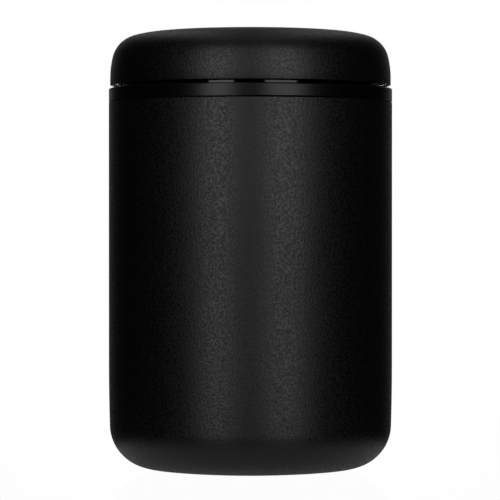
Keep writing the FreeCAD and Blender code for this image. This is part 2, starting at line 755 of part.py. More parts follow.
def valve_holes(body, name, x, top, thickness):
    """Holes for one check valve: its stalk in the middle, and a ring of air ports under its umbrella."""
    middle = new_sketch(body, "XY_Plane", f"{name}_stalk_outline", (x, 0, top))
    draw_circle(middle, (0, 0), s.valve_stalk + s.seat_clearance)
    pocket(body, f"{name}_stalk_hole", middle, thickness)
    port = new_sketch(body, "XY_Plane", f"{name}_port_outline", (x, 0, top))
    draw_circle(port, (s.port_circle, 0), s.port_radius)
    ports = [pocket(body, f"{name}_port", port, thickness)]
    repeat(body, f"{name}_ports", ports, PORTS, port)


def pump_cylinder():
    """Cup with a guide post in the middle; the keys on the post stop the piston from turning."""
    body = new_body("pump_cylinder")
    revolve(body, "cup_and_post", [
        (post_bore, floor_top),
        (cylinder_radius, floor_top),
        (cylinder_radius, cylinder_top),
        (cylinder_bore, cylinder_top),
        (cylinder_bore, chamber_floor),
        (post_radius + s.post_round, chamber_floor),
        Arc(
            (post_radius + s.post_round, chamber_floor + s.post_round),
            s.post_round,
            (post_radius, chamber_floor + s.post_round),
        ),
        (post_radius, post_top),
        (post_bore, post_top),
    ])

    key_bottom = piston_bottom + s.hub_seal_height + s.stroke + s.key_clearance
    half_key = 0 - s.key_width / 2
    key = draw(
        new_sketch(body, "XY_Plane", "key_outline", (0, half_key, key_bottom)),
        [(post_bore + s.post_wall / 2, 0), (key_radius, 0), (key_radius, s.key_width),
         (post_bore + s.post_wall / 2, s.key_width)],
    )
    keys = [pad(body, "key", key, post_top - key_bottom)]
    repeat(body, "keys", keys, KEYS)

    half_ear = s.ear_width / 2
    root_radius = cylinder_bore + s.cylinder_wall / 2
    ear = draw(new_sketch(body, "XY_Plane", "ear_outline", (0, 0 - half_ear, boss_top)), [
        (root_radius, 0),
        (ear_circle, 0),
        Arc((ear_circle, half_ear), half_ear, (ear_circle + half_ear, half_ear)),
        Arc((ear_circle, half_ear), half_ear, (ear_circle, s.ear_width)),
        (root_radius, s.ear_width),
    ])
    ears = [pad(body, "ear", ear, s.ear_thickness)]
    repeat(body, "ears", ears, EARS)
    hole = draw_circle(
        new_sketch(body, "XY_Plane", "ear_hole_outline", (0, 0, boss_top + s.ear_thickness)),
        (ear_circle, 0),
        s.screw_radius + s.screw_hole_clearance,
    )
    holes = [pocket(body, "ear_hole", hole, s.ear_thickness)]
    repeat(body, "ear_holes", holes, EARS)
    valve_holes(body, "inlet", inlet_place, chamber_floor, s.cylinder_floor)
    return body


def screws(label, circle, turn, shank_bottom, shank_length, head_bottom_height, count):
    """A ring of equal screws with plain round heads."""
    body = new_body(label)
    shank = new_sketch(body, "XY_Plane", "shank_outline", (0, 0, shank_bottom), turn)
    head = new_sketch(body, "XY_Plane", "head_outline", (0, 0, head_bottom_height), turn)
    draw_circle(shank, (circle, 0), s.screw_radius)
    draw_circle(head, (circle, 0), s.screw_head_radius)
    screw = [
        pad(body, "shank", shank, shank_length),
        pad(body, "head", head, s.screw_head_height),
    ]
    repeat(body, "ring_of_screws", screw, count)
    return body


def check_valve(label, plate_thickness, x, plate_top_height):
    """Rubber umbrella on a stalk, held by a bulb under the plate that it seals."""
    body = new_body(label)
    plate_under = s.valve_bulb_height
    skirt = plate_under + plate_thickness
    crown = s.valve_rise - s.valve_edge
    dome = (s.valve_skirt * s.valve_skirt + crown * crown) / (2 * crown)
    top = skirt + s.valve_rise
    revolve(body, "umbrella", [
        (0, 0),
        (s.valve_bulb * s.valve_nose_share, 0),
        (s.valve_bulb, plate_under),
        (s.valve_stalk, plate_under),
        (s.valve_stalk, skirt),
        (s.valve_skirt, skirt),
        (s.valve_skirt, skirt + s.valve_edge),
        Arc((0, top - dome), dome, (0, top)),
    ])
    return place(body, x=x, z=plate_top_height - skirt)


def filter_screen():
    body = new_body("filter_screen")
    disc = draw_circle(new_sketch(body, "XY_Plane", "screen_outline"), (0, 0), filter_radius)
    pad(body, "screen", disc, s.filter_thickness)
    return place(body, x=inlet_place, z=filter_top - s.filter_thickness)


def filter_grille():
    """Slotted disc that holds the filter screen up in the floor of the plug."""
    body = new_body("filter_grille")
    disc = draw_circle(new_sketch(body, "XY_Plane", "disc_outline"), (0, 0), filter_radius)
    pad(body, "disc", disc, s.grille_thickness)
    half = s.grille_slot_width / 2
    outer = filter_radius - s.grille_slot_margin - half
    slot = draw(
        new_sketch(body, "XY_Plane", "slot_outline", (0, 0 - half, s.grille_thickness)),
        [
            (s.grille_slot_inner, 0),
            (outer, 0),
            Arc((outer, half), half, (outer + half, half)),
            Arc((outer, half), half, (outer, s.grille_slot_width)),
            (s.grille_slot_inner, s.grille_slot_width),
        ],
    )
    slots = [pocket(body, "slot", slot, s.grille_thickness)]
    repeat(body, "slots", slots, GRILLE_SLOTS)
    return place(body, x=inlet_place, z=floor_bottom)


def cap_arc_ends(inset):
    """Where the arcs of the cap meet, at an inset from its outside."""
    corner = s.cap_corner_radius - inset
    low = (cap_corner_centre[0] + corner * side_cosine, cap_corner_centre[1] + corner * side_sine)
    high = (cap_corner_centre[0] + corner * crown_sine, cap_corner_centre[1] + corner * crown_cosine)
    return low, high


def cap_shell():
    """Drawn steel dome with a hole for the bezel."""
    body = new_body("cap_shell")
    wall = s.cap_wall
    low, high = cap_arc_ends(as_size(0))
    low_in, high_in = cap_arc_ends(wall)
    revolve(body, "drawn_dome", [
        (cap_radius, cap_bottom),
        (cap_radius, cap_straight),
        Arc(cap_side_centre, s.cap_side_radius, low),
        Arc(cap_corner_centre, s.cap_corner_radius, high),
        Arc(cap_crown_centre, s.cap_crown_radius, (cap_flat, cap_top)),
        (bezel_hole, cap_top),
        (bezel_hole, cap_under),
        (cap_flat, cap_under),
        Arc(cap_crown_centre, s.cap_crown_radius - wall, high_in),
        Arc(cap_corner_centre, s.cap_corner_radius - wall, low_in),
        Arc(cap_side_centre, s.cap_side_radius - wall, (cap_radius - wall, cap_straight)),
        (cap_radius - wall, cap_bottom),
    ])
    edge = [(cap_radius, cap_bottom), (cap_radius - wall, cap_bottom)]
    round_edges(body, "edge_rounds", edge, s.cap_edge_round)
    return body


def cap_insert():
    """Moulding inside the dome: hooks that hold it to the neck, the spring well and the bezel's guide."""
    body = new_body("cap_insert")
    skirt_bottom = cap_bottom + s.skirt_recess
    well_radius = well_bore + s.well_floor
    well_hole = s.stem_radius + s.well_hole_clearance
    guide_radius = bezel_hole + s.guide_wall
    ledge = bezel_hole - s.guide_ledge
    revolve(body, "plate_skirt_and_guide", [
        (well_hole, well_bottom),
        (well_radius, well_bottom),
        (well_radius, plate_bottom),
        (skirt_inner, plate_bottom),
        (skirt_inner, skirt_bottom),
        (skirt_outer, skirt_bottom),
        (skirt_outer, plate_bottom),
        (skirt_outer - s.plate_step, plate_top),
        (guide_radius, plate_top),
        (guide_radius, cap_under),
        (bezel_hole, cap_under),
        (bezel_hole, bezel_bottom),
        (ledge, bezel_bottom),
        (ledge, plate_top),
        (well_bore, plate_top),
        (well_bore, well_seat),
        (well_hole, well_seat),
    ])

    hook_top = lip_bottom - s.hook_gap
    hook_inner = neck_radius + s.hook_clearance
    skirt_middle = skirt_inner + s.skirt_wall / 2
    hook = revolve(body, "hook", [
        (hook_inner, hook_top),
        (hook_inner, hook_top - s.hook_land),
        (skirt_inner, hook_top - s.hook_height),
        (skirt_middle, hook_top - s.hook_height),
        (skirt_middle, hook_top),
    ], s.hook_angle)
    repeat(body, "hooks", [hook], HOOKS)

    guide_middle = bezel_hole + s.guide_wall / 2
    rib_foot = cap_radius - s.cap_corner_radius
    rib = draw(new_sketch(body, "XZ_Plane", "rib_outline"), [
        (guide_middle, plate_bottom),
        (rib_foot, plate_bottom),
        (rib_foot, plate_top),
        (cap_flat * s.rib_reach_share, cap_under),
        (guide_middle, cap_under),
    ])
    ribs = [pad(body, "rib", rib, s.rib_thickness, both_sides=True)]
    repeat(body, "ribs", ribs, RIBS)

    between_ribs = FULL_TURN / RIBS / 2
    boss = new_sketch(body, "XY_Plane", "boss_outline", (0, 0, plate_bottom), between_ribs)
    draw_circle(boss, (sleeve_screw_circle, 0), s.boss_radius)
    bosses = [pad(body, "boss", boss, s.plate_thickness + s.boss_height)]
    repeat(body, "bosses", bosses, SLEEVE_SCREWS)
    hole_depth = s.screw_bite + s.screw_tip_gap
    hole_top = (0, 0, plate_bottom + hole_depth)
    hole = new_sketch(body, "XY_Plane", "boss_hole_outline", hole_top, between_ribs)
    draw_circle(hole, (sleeve_screw_circle, 0), s.screw_radius + s.seat_clearance)
    holes = [pocket(body, "boss_hole", hole, hole_depth)]
    repeat(body, "boss_holes", holes, SLEEVE_SCREWS)
    return body


def drive_sleeve():
    """Flanged tube under the cap, with helical slots that lift the follower pins as it turns."""
    body = new_body("drive_sleeve")
    flange_bottom = plate_bottom - s.sleeve_flange_thickness
    revolve(body, "flanged_tube", [
        (sleeve_bore, sleeve_bottom),
        (sleeve_radius, sleeve_bottom),
        (sleeve_radius, flange_bottom),
        (flange_radius, flange_bottom),
        (flange_radius, plate_bottom),
        (sleeve_bore, plate_bottom),
    ])

    before = body.Shape.Volume
    start = pin_height - slot_end_drop
    section = draw(
        new_sketch(body, "XZ_Plane", "slot_section"),
        box_outline(
            sleeve_bore - s.overrun, sleeve_radius + s.overrun, start - slot_half, start + slot_half
        ),
    )
    slot = body.newObject("PartDesign::SubtractiveHelix", "slot")
    slot.Profile = section
    slot.ReferenceAxis = (section, ["V_Axis"])
    slot.Mode = "pitch-turns-angle"
    slot.LeftHanded = True
    slot.Reversed = False
    slot.setExpression("Pitch", slot_lead.text)
    slot.setExpression("Turns", ((s.twist_angle + 2 * slot_end_angle) / FULL_TURN).text)
    doc.recompute()
    must_cut(body, "slot", before)
    repeat(body, "slots", [slot], FOLLOWERS)

    # The body is turned so that a pin at rest stands clear of the end of its slot; the screws allow for it
    screw_angle = FULL_TURN / RIBS / 2 - slot_end_angle
    hole = new_sketch(body, "XY_Plane", "flange_hole_outline", (0, 0, plate_bottom))
    hole_place = (sleeve_screw_circle * cosine(screw_angle), sleeve_screw_circle * sine(screw_angle))
    draw_circle(hole, hole_place, s.screw_radius + s.screw_hole_clearance)
    holes = [pocket(body, "flange_hole", hole, s.sleeve_flange_thickness)]
    repeat(body, "flange_holes", holes, SLEEVE_SCREWS)
    body.Placement = Placement(Vector(), Rotation(Vector(0, 0, 1), slot_end_angle.value))
    body.setExpression("Placement.Rotation.Angle", slot_end_angle.text)
    doc.recompute()
    return body


def button_bezel():
    """Ring let into the top of the cap; its lip keeps the button in."""
    body = new_body("button_bezel")
    revolve(body, "ring", [
        (bezel_bore, bezel_bottom),
        (s.bezel_radius, bezel_bottom),
        (s.bezel_radius, cap_top),
        (bezel_mouth, cap_top),
        (bezel_mouth, bezel_lip_bottom),
        (bezel_bore, bezel_lip_bottom),
    ])
    round_edges(body, "mouth_round", [(bezel_mouth, cap_top)], s.bezel_round)
    return body


def release_button():
    """Dished button: a window for the indicator, a shoulder under the bezel, a socket for the stem."""
    body = new_body("release_button")
    edge = bezel_mouth - s.button_clearance
    shoulder_radius = bezel_bore - s.button_clearance
    shoulder = bezel_lip_bottom - s.button_clearance
    skirt_bottom = shoulder - s.button_skirt
    skirt_bore = shoulder_radius - s.button_skirt_wall
    window = s.flag_radius + s.flag_clearance
    dish_edge = edge - s.button_rim
    dish_radius = (dish_edge * dish_edge + s.button_dish * s.button_dish) / (2 * s.button_dish)
    dish_centre = (0, button_top - s.button_dish + dish_radius)
    window_top = dish_centre[1] - root(dish_radius * dish_radius - window * window)
    revolve(body, "face_skirt_and_socket", [
        (window, button_under),
        (socket_bore, button_under),
        (socket_bore, button_under - s.socket_depth),
        (socket_radius, button_under - s.socket_depth),
        (socket_radius, button_under),
        (skirt_bore, button_under),
        (skirt_bore, skirt_bottom),
        (shoulder_radius, skirt_bottom),
        (shoulder_radius, shoulder),
        (edge, shoulder),
        (edge, button_top),
        (dish_edge, button_top),
        Arc(dish_centre, dish_radius, (window, window_top)),
    ])
    round_edges(body, "edge_round", [(edge, button_top)], s.button_round)
    return body


def valve_stem():
    """Hollow stem from the button to the release valve; its head is the chamber of the indicator."""
    body = new_body("valve_stem")
    revolve(body, "stem_and_head", [
        (s.air_bore, poppet_bottom),
        (s.stem_radius, poppet_bottom),
        (s.stem_radius, head_bottom),
        (head_radius, head_bottom),
        (head_radius, button_under),
        (flag_chamber, button_under),
        (flag_chamber, flag_floor),
        (s.air_bore, flag_floor),
    ])
    return body


def valve_poppet():
    """Release valve head on the foot of the stem, with a groove for its seal."""
    body = new_body("valve_poppet")
    bore = s.stem_radius + s.seat_clearance
    gland = s.poppet_seal_cord + s.seat_clearance
    groove_bottom = poppet_top - s.poppet_groove - s.seat_clearance
    revolve(body, "head", [
        (bore, poppet_bottom),
        (poppet_radius, poppet_bottom),
        (poppet_radius, poppet_top),
        (poppet_seal_circle + gland, poppet_top),
        (poppet_seal_circle + gland, groove_bottom),
        (poppet_seal_circle - gland, groove_bottom),
        (poppet_seal_circle - gland, poppet_top),
        (bore, poppet_top),
    ])
    round_edges(body, "edge_round", [(poppet_radius, poppet_bottom)], s.poppet_round)
    return body


def indicator_pin():
    """Coloured pin that shows in the button; the vacuum under its piston pulls it down."""
    body = new_body("indicator_pin")
    middle = (flag_piston_top + flag_piston_bottom) / 2
    gland = s.flag_seal_cord + s.seat_clearance
    floor = flag_piston_radius - s.flag_groove
    revolve(body, "pin_and_piston", [
        (0, flag_piston_bottom),
        (flag_piston_radius, flag_piston_bottom),
        (flag_piston_radius, middle - gland),
        (floor, middle - gland),
        (floor, middle + gland),
        (flag_piston_radius, middle + gland),
        (flag_piston_radius, flag_piston_top),
        (s.flag_radius, flag_piston_top),
        (s.flag_radius, button_top - s.button_dish),
        (0, button_top - s.button_dish),
    ])
    seal_circle = floor + s.seat_clearance + s.flag_seal_cord
    return body, o_ring("indicator_seal", seal_circle, s.flag_seal_cord, middle)


def piston():
    """Disc, keyed sleeve and slotted drum of the pump piston in one moulding."""
    body = new_body("piston")
    flange = piston_radius + s.piston_flange_reach
    flange_top = piston_bottom + s.piston_flange
    revolve(body, "disc_sleeve_and_drum", [
        (bushing_bore, piston_bottom),
        (flange, piston_bottom),
        (flange, flange_top),
        (piston_radius, flange_top),
        (piston_radius, piston_top),
        (drum_radius, piston_top),
        (drum_radius, drum_top),
        (drum_bore, drum_top),
        (drum_bore, piston_top),
        (bushing_radius, piston_top),
        (bushing_radius, pin_height),
        (bushing_bore, pin_height),
    ])

    seal_middle = piston_bottom + s.hub_seal_height / 2
    seal_circle = post_radius + s.hub_seal_gap + s.hub_seal_cord
    gland = s.hub_seal_cord + s.seat_clearance
    groove(body, "seal_gland", box_outline(
        bushing_bore - s.key_clearance, seal_circle + gland, seal_middle - gland, seal_middle + gland
    ))
    seal = o_ring("hub_seal", seal_circle, s.hub_seal_cord, seal_middle)

    keyway_width = s.key_width + 2 * s.key_clearance
    keyway = draw(
        new_sketch(body, "XY_Plane", "keyway_outline", (0, 0 - keyway_width / 2, pin_height)),
        [(post_bore, 0), (key_radius + s.key_clearance, 0),
         (key_radius + s.key_clearance, keyway_width), (post_bore, keyway_width)],
    )
    keyway_depth = pin_height - piston_bottom - s.hub_seal_height
    keyways = [pocket(body, "keyway", keyway, keyway_depth)]
    repeat(body, "keyways", keyways, KEYS)

    web = draw(
        new_sketch(body, "XZ_Plane", "web_outline", turn=FULL_TURN / WEBS / 2),
        box_outline(
            bushing_radius - s.key_clearance,
            drum_bore + s.drum_wall / 2,
            piston_top,
            piston_top + s.web_height,
        ),
    )
    webs = [pad(body, "web", web, s.web_thickness, both_sides=True)]
    repeat(body, "webs", webs, WEBS)

    pin_hole = new_sketch(body, "YZ_Plane", "pin_hole_outline", (0, 0, drum_radius + s.overrun))
    draw_circle(pin_hole, (0, pin_height), s.pin_radius + s.seat_clearance)
    pin_holes = [pocket(body, "pin_hole", pin_hole, s.drum_wall + 2 * s.overrun)]
    repeat(body, "pin_holes", pin_holes, FOLLOWERS)
    valve_holes(body, "outlet", 0 - outlet_place, piston_top, s.piston_disc)
    return body, seal


def piston_seal():
    """Lip seal on the rim of the piston, open upwards."""
    body = new_body("piston_seal")
    bottom = piston_bottom + s.piston_flange
    middle = bottom + s.piston_seal_height / 2
    top = bottom + s.piston_seal_height
    back = piston_radius + s.seat_clearance
    revolve(body, "lip", [
        (back, bottom),
        (seal_outer - s.piston_seal_lip, bottom),
        (seal_outer, top),
        (seal_outer - s.piston_seal_lip, top),
        (back + s.piston_seal_lip, middle),
        (back, middle),
    ])
    return body


def follower_pins():
    """Steel pins pressed through the drum, that run in the slots of the drive sleeve."""
    body = new_body("follower_pins")
    end = new_sketch(body, "YZ_Plane", "pin_outline", (0, 0, drum_bore))
    draw_circle(end, (0, pin_height), s.pin_radius)
    pins = [pad(body, "pin", end, sleeve_radius - s.pin_end_gap - drum_bore)]
    repeat(body, "pins", pins, FOLLOWERS)
    return body


def arc_between(start, direction, end):
    """The arc that leaves a point in a direction and ends at another point."""
    chord = end - start
    half_turn = direction.getAngle(chord)
    apex = start + direction * (chord.Length / (2 * math.cos(half_turn)))
    middle = (start + end) * 0.5
    rise = math.tan(half_turn / 2) / math.tan(half_turn)
    return Part.Arc(start, middle + (apex - middle) * rise, end)


def coil_spring(label, circle, wire, bottom, top, turns):
    """Wire wound at an even pitch between two seats, as pairs of arcs over each quarter turn."""
    radius, low = circle.value, (bottom + wire / 2 + s.seat_clearance).value
    rise = (top - bottom - wire - 2 * s.seat_clearance).value

    def point(turn):
        angle = 2 * math.pi * turn
        return Vector(radius * math.cos(angle), radius * math.sin(angle), low + rise * turn / turns)

    def direction(turn):
        angle = 2 * math.pi * turn
        along = Vector(-math.sin(angle), math.cos(angle), rise / (2 * math.pi * radius * turns))
        return along.normalize()

    edges = []
    for k in range(SPRING_SPANS * turns):
        before, after = k / SPRING_SPANS, (k + 1) / SPRING_SPANS
        a, b = point(before), point(after)
        ta, tb = direction(before), direction(after)
        chord, both, bend = b - a, ta + tb, 2 * (1 - ta.dot(tb))
        reach = chord.dot(both)
        length = (math.sqrt(reach * reach + bend * chord.dot(chord)) - reach) / bend
        joint = (a + b + (ta - tb) * length) * 0.5
        through = (b - tb * length - joint).normalize()
        edges.append(arc_between(a, ta, joint).toShape())
        edges.append(arc_between(joint, through, b).toShape())
    section = Part.Wire([Part.makeCircle(wire.value / 2, point(0), direction(0))])
    spring = doc.addObject("Part::Feature", label)
    spring.Label = label
    spring.Shape = Part.Wire(edges).makePipeShell([section], True, False)
    spring.Placement = Placement()
    beads = [point(k / SPRING_BEADS) for k in range(SPRING_BEADS * turns + 1)]
    half_turn = SPRING_BEADS // 2
    gap = min(a.distanceToPoint(b) for i, a in enumerate(beads) for b in beads[i + half_turn:]) - wire.value
    print(f"{label}: least gap between turns {gap:.2f} mm, length {Part.Wire(edges).Length:.1f} mm")
    return spring


shell, foot_step = canister_shell()
pump_piston, piston_hub_seal = piston()
indicator, indicator_ring = indicator_pin()
between_ribs_angle = FULL_TURN / RIBS / 2
sleeve_flange_bottom = plate_bottom - s.sleeve_flange_thickness
pieces = [
    shell,
    foot_ring(foot_step),
    lid_base(),
    lid_gasket(),
    glide_ring(),
    pump_cylinder(),
    o_ring("cylinder_seal", cylinder_seal_circle, s.cylinder_seal_cord, floor_top - cylinder_seal_gland),
    screws(
        "cylinder_screws", ear_circle, 0.0, boss_top - s.screw_bite,
        s.screw_bite + s.ear_thickness, boss_top + s.ear_thickness, EARS,
    ),
    check_valve("inlet_valve", s.cylinder_floor, inlet_place, chamber_floor),
    filter_screen(),
    filter_grille(),
    cap_shell(),
    cap_insert(),
    drive_sleeve(),
    screws(
        "sleeve_screws", sleeve_screw_circle, between_ribs_angle, sleeve_flange_bottom,
        s.sleeve_flange_thickness + s.screw_bite, sleeve_flange_bottom - s.screw_head_height, SLEEVE_SCREWS,
    ),
    button_bezel(),
    release_button(),
    valve_stem(),
    valve_poppet(),
    o_ring("poppet_seal", poppet_seal_circle, s.poppet_seal_cord, poppet_seal_height),
    coil_spring(
        "button_spring", button_spring_circle, s.button_spring_wire, well_seat, button_under,
        BUTTON_SPRING_TURNS,
    ),
    indicator,
    indicator_ring,
    coil_spring(
        "indicator_spring", flag_spring_circle, s.flag_spring_wire, flag_floor, flag_piston_bottom,
        FLAG_SPRING_TURNS,
    ),
    pump_piston,
    piston_hub_seal,
    piston_seal(),
    follower_pins(),
    check_valve("outlet_valve", s.piston_disc, 0 - outlet_place, piston_top),
]

# Nothing is written unless every object of the document is sound
doc.recompute()
faults = [item.Label for item in doc.Objects if {"Invalid", "Error"} & set(item.State)]
faults += [piece.Label for piece in pieces if piece.Shape.isNull() or not piece.Shape.isValid()]
if faults:
    raise RuntimeError(f"failed: {faults}")
os.makedirs("parts", exist_ok=True)
for piece in pieces:
    piece.Shape.exportStep(f"parts/{piece.Label}.step")
print(f"{len(pieces)} pieces, {cap_top.value:.2f} mm tall")
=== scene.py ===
# %% [markdown]
# # A vacuum coffee canister
# The real thing is a drawn steel pot with a black powder coat, a smooth moulded collar, and a domed cap
# that is twisted to and fro to pump the air out of the pot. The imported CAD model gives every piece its
# size, its place and its joint. Here the pieces get their finishes, and those that need more shape than a
# plain solid are modelled anew. Lengths are in metres, and angles are written in degrees.

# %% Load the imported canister
import json
import math

import bpy
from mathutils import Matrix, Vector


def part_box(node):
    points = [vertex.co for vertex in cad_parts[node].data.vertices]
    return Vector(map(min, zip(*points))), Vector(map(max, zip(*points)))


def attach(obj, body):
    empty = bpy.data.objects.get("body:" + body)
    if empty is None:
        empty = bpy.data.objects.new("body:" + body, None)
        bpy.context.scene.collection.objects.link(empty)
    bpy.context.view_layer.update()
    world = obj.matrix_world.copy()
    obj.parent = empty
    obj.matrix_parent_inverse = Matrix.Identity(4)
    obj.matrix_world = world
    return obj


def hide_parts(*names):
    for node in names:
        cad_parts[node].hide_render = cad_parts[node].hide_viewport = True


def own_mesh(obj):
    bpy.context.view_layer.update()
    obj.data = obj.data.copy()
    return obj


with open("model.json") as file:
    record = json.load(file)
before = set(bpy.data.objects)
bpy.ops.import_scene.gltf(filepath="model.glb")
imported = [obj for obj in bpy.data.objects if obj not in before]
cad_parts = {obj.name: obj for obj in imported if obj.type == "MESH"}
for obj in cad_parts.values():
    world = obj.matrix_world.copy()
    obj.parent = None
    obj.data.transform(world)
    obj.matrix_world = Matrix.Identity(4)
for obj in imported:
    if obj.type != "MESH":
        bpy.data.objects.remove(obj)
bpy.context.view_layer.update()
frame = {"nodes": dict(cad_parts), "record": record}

# %% [markdown]
# ## Shader maths
# A finish is a small graph of nodes. Wiring each Math node by hand hides what is being worked out, so one
# class stands for the output of a node and takes part in ordinary sums, and one method adds any other node:
# its settings first, then the values or wires of its sockets.

# %% Wires and nodes
class Wire:
    """The output of a node, as a term in a sum."""

    def __init__(self, nodes, socket):
        self.nodes = nodes
        self.socket = socket

    def joined(self, operation, first, second):
        return self.nodes.add("ShaderNodeMath", {"operation": operation}, {0: first, 1: second})

    def __add__(self, other):
        return self.joined("ADD", self, other)

    def __radd__(self, other):
        return self.joined("ADD", other, self)

    def __sub__(self, other):
        return self.joined("SUBTRACT", self, other)

    def __rsub__(self, other):
        return self.joined("SUBTRACT", other, self)

    def __mul__(self, other):
        return self.joined("MULTIPLY", self, other)

    def __rmul__(self, other):
        return self.joined("MULTIPLY", other, self)


class Nodes:
    """The empty node tree of a material or a world, filled one call at a time."""

    def __init__(self, owner):
        owner.use_nodes = True
        self.tree = owner.node_tree
        self.tree.nodes.clear()

    def add(self, kind, settings=(), sockets=(), output=0):
        node = self.tree.nodes.new(kind)
        for name, value in dict(settings).items():
            setattr(node, name, value)
        for name, value in dict(sockets).items():
            if isinstance(value, Wire):
                self.tree.links.new(value.socket, node.inputs[name])
            else:
                node.inputs[name].default_value = value
        return Wire(self, node.outputs[output]) if node.outputs else None

    def noise(self, place, scale, detail=2.0):
        return self.add("ShaderNodeTexNoise", {}, {"Vector": place, "Scale": scale, "Detail": detail})

    def ramp(self, value, low, high, start=0.0, end=1.0):
        """A smooth step from start to end while the value goes from low to high."""
        sockets = {"Value": value, "From Min": low, "From Max": high, "To Min": start, "To Max": end}
        return self.add("ShaderNodeMapRange", {"interpolation_type": "SMOOTHSTEP"}, sockets)

    def mix(self, factor, first, second):
        return self.add("ShaderNodeMix", {"data_type": "RGBA"}, {0: factor, 6: first, 7: second}, 2)

    def bump(self, height, depth, strength=1.0):
        sockets = {"Height": height, "Distance": depth, "Strength": strength}
        return self.add("ShaderNodeBump", {}, sockets, "Normal")


print("shader maths ready")

# %% [markdown]
# ## Finishes
# All of the patterns are read in Object coordinates, which are metres on the real canister, so the grain
# has its real size on every piece. Each finish is a Principled shader: what is the same all over is set on
# its own socket, and only colour, roughness and the bump change over the surface.

# %% A finish to start from
def grey(level, blue=1.0):
    """A grey, and with blue above 1 a cooler one."""
    return (level, level, level * blue, 1.0)


def new_finish(name):
    """An empty material, its nodes, and the place on the piece in metres."""
    material = bpy.data.materials.new(name)
    nodes = Nodes(material)
    place = nodes.add("ShaderNodeTexCoord", output="Object")
    return material, nodes, place


def coat_with(nodes, sockets):
    """Ends a finish with a Principled shader."""
    shader = nodes.add("ShaderNodeBsdfPrincipled", {}, sockets)
    nodes.add("ShaderNodeOutputMaterial", {}, {"Surface": shader})


print("a mid grey is", grey(0.5))

# %% [markdown]
# ### Powder coat
# The pot and the cap are sprayed with dry black powder and baked. The grains melt into a skin that is matte
# and very finely pebbled: it shows no mirror image, only broad soft bands of light with a fine sparkle in
# them. Two sizes of noise make the pebbles, and the tops of the grains are smoother than the hollows
# between them. The colour follows the grain with painted light: a painted highlight on the tops and painted
# shade in the hollows. The bump stays shallow, because a steep one would smear the bands. The cap is
# handled more, and its coat is a little smoother than the pot's.

# %% Powder coat
PEBBLE_SCALE = 1050.0
PEBBLE_SHARE = 0.7
DUST_SCALE = 2400.0
CLOUD_SCALE = 45.0
CLOUD_DULLING = 0.03
GRAIN_LOW = 0.36
GRAIN_HIGH = 0.64
GRAIN_DEPTH = 0.00003
# painted light: the grain's colour is darker in its hollows (painted shade) and lighter on its tops
# (painted highlight)
GRAIN_PAINTED_SHADE = grey(0.0001)
GRAIN_PAINTED_HIGHLIGHT = grey(0.0007, 1.04)


def powder_coat(name, roughness, sparkle):
    material, nodes, place = new_finish(name)
    pebbles = nodes.noise(place, PEBBLE_SCALE)
    dust = nodes.noise(place, DUST_SCALE)
    clouds = nodes.noise(place, CLOUD_SCALE)
    grain = nodes.ramp(pebbles * PEBBLE_SHARE + dust * (1 - PEBBLE_SHARE), GRAIN_LOW, GRAIN_HIGH)
    coat_with(nodes, {
        # the colour follows the grain's height: painted shade in the hollows, a painted highlight on the
        # tops
        "Base Color": nodes.mix(grain, GRAIN_PAINTED_SHADE, GRAIN_PAINTED_HIGHLIGHT),
        "Roughness": roughness - grain * sparkle + clouds * CLOUD_DULLING,
        "Normal": nodes.bump(grain, GRAIN_DEPTH),
    })
    return material


pot_coat = powder_coat("pot_powder_coat", roughness=0.53, sparkle=0.2)
cap_coat = powder_coat("cap_powder_coat", roughness=0.496, sparkle=0.17)
print("finish", pot_coat.name, cap_coat.name)

# %% [markdown]
# ### Bare steel
# Inside, the drawn sheet of the pot is left bare. Drawing and polishing turn it against the tool, so its
# fine lines run round the axis: the noise is squeezed along Z and stretched across it. Small stock such as
# springs and screws has no such direction, and gets an even fine grain instead.

# %% Steel
LINE_DETAIL = 4.0
LINE_DULLING = 0.12
LINE_DEPTH = 0.00001
LINE_STRENGTH = 0.5
SMUDGE_SCALE = 38.0
SMUDGE_DETAIL = 3.0
SMUDGE_DULLING = 0.06
DARK_STEEL = grey(0.50, 0.98)
PALE_STEEL = grey(0.60, 0.98)


def steel(name, stretch, roughness):
    material, nodes, place = new_finish(name)
    stretched = nodes.add("ShaderNodeMapping", {}, {"Vector": place, "Scale": stretch})
    lines = nodes.noise(stretched, 1.0, LINE_DETAIL)
    smudges = nodes.noise(place, SMUDGE_SCALE, SMUDGE_DETAIL)
    coat_with(nodes, {
        "Base Color": nodes.mix(smudges, DARK_STEEL, PALE_STEEL),
        "Metallic": 1.0,
        "Roughness": roughness + lines * LINE_DULLING + smudges * SMUDGE_DULLING,
        "Normal": nodes.bump(lines, LINE_DEPTH, LINE_STRENGTH),
    })
    return material


drawn_steel = steel("drawn_steel", stretch=(45.0, 45.0, 2600.0), roughness=0.20)
stock_steel = steel("stock_steel", stretch=(1800.0, 1800.0, 1800.0), roughness=0.18)
print("finish", drawn_steel.name, stock_steel.name)

# %% [markdown]
# ### Mouldings
# The collar, the button and the pump are injection moulded. A tool that is finished by sparks leaves a skin
# of tiny even pits, far finer than the powder coat, so these surfaces hold a sharper highlight. One
# function makes them all; colour, gloss and the depth of the pits set them apart. The neck that the cap
# turns on is polished, so in the gap under the cap it shows the lamps as two short sharp glints: above a
# given height the roughness drops.

# %% Moulded plastic and silicone
PIT_SCALE = 5200.0
PIT_DULLING = 0.06
PIT_STRENGTH = 0.5
FLOW_SCALE = 70.0
FLOW_DETAIL = 3.0
FLOW_LIGHTENING = 1.18
NOISE_MIDDLE = 0.5
POLISH = 0.07
POLISH_EASE = 0.0002
NECK_START = 0.168


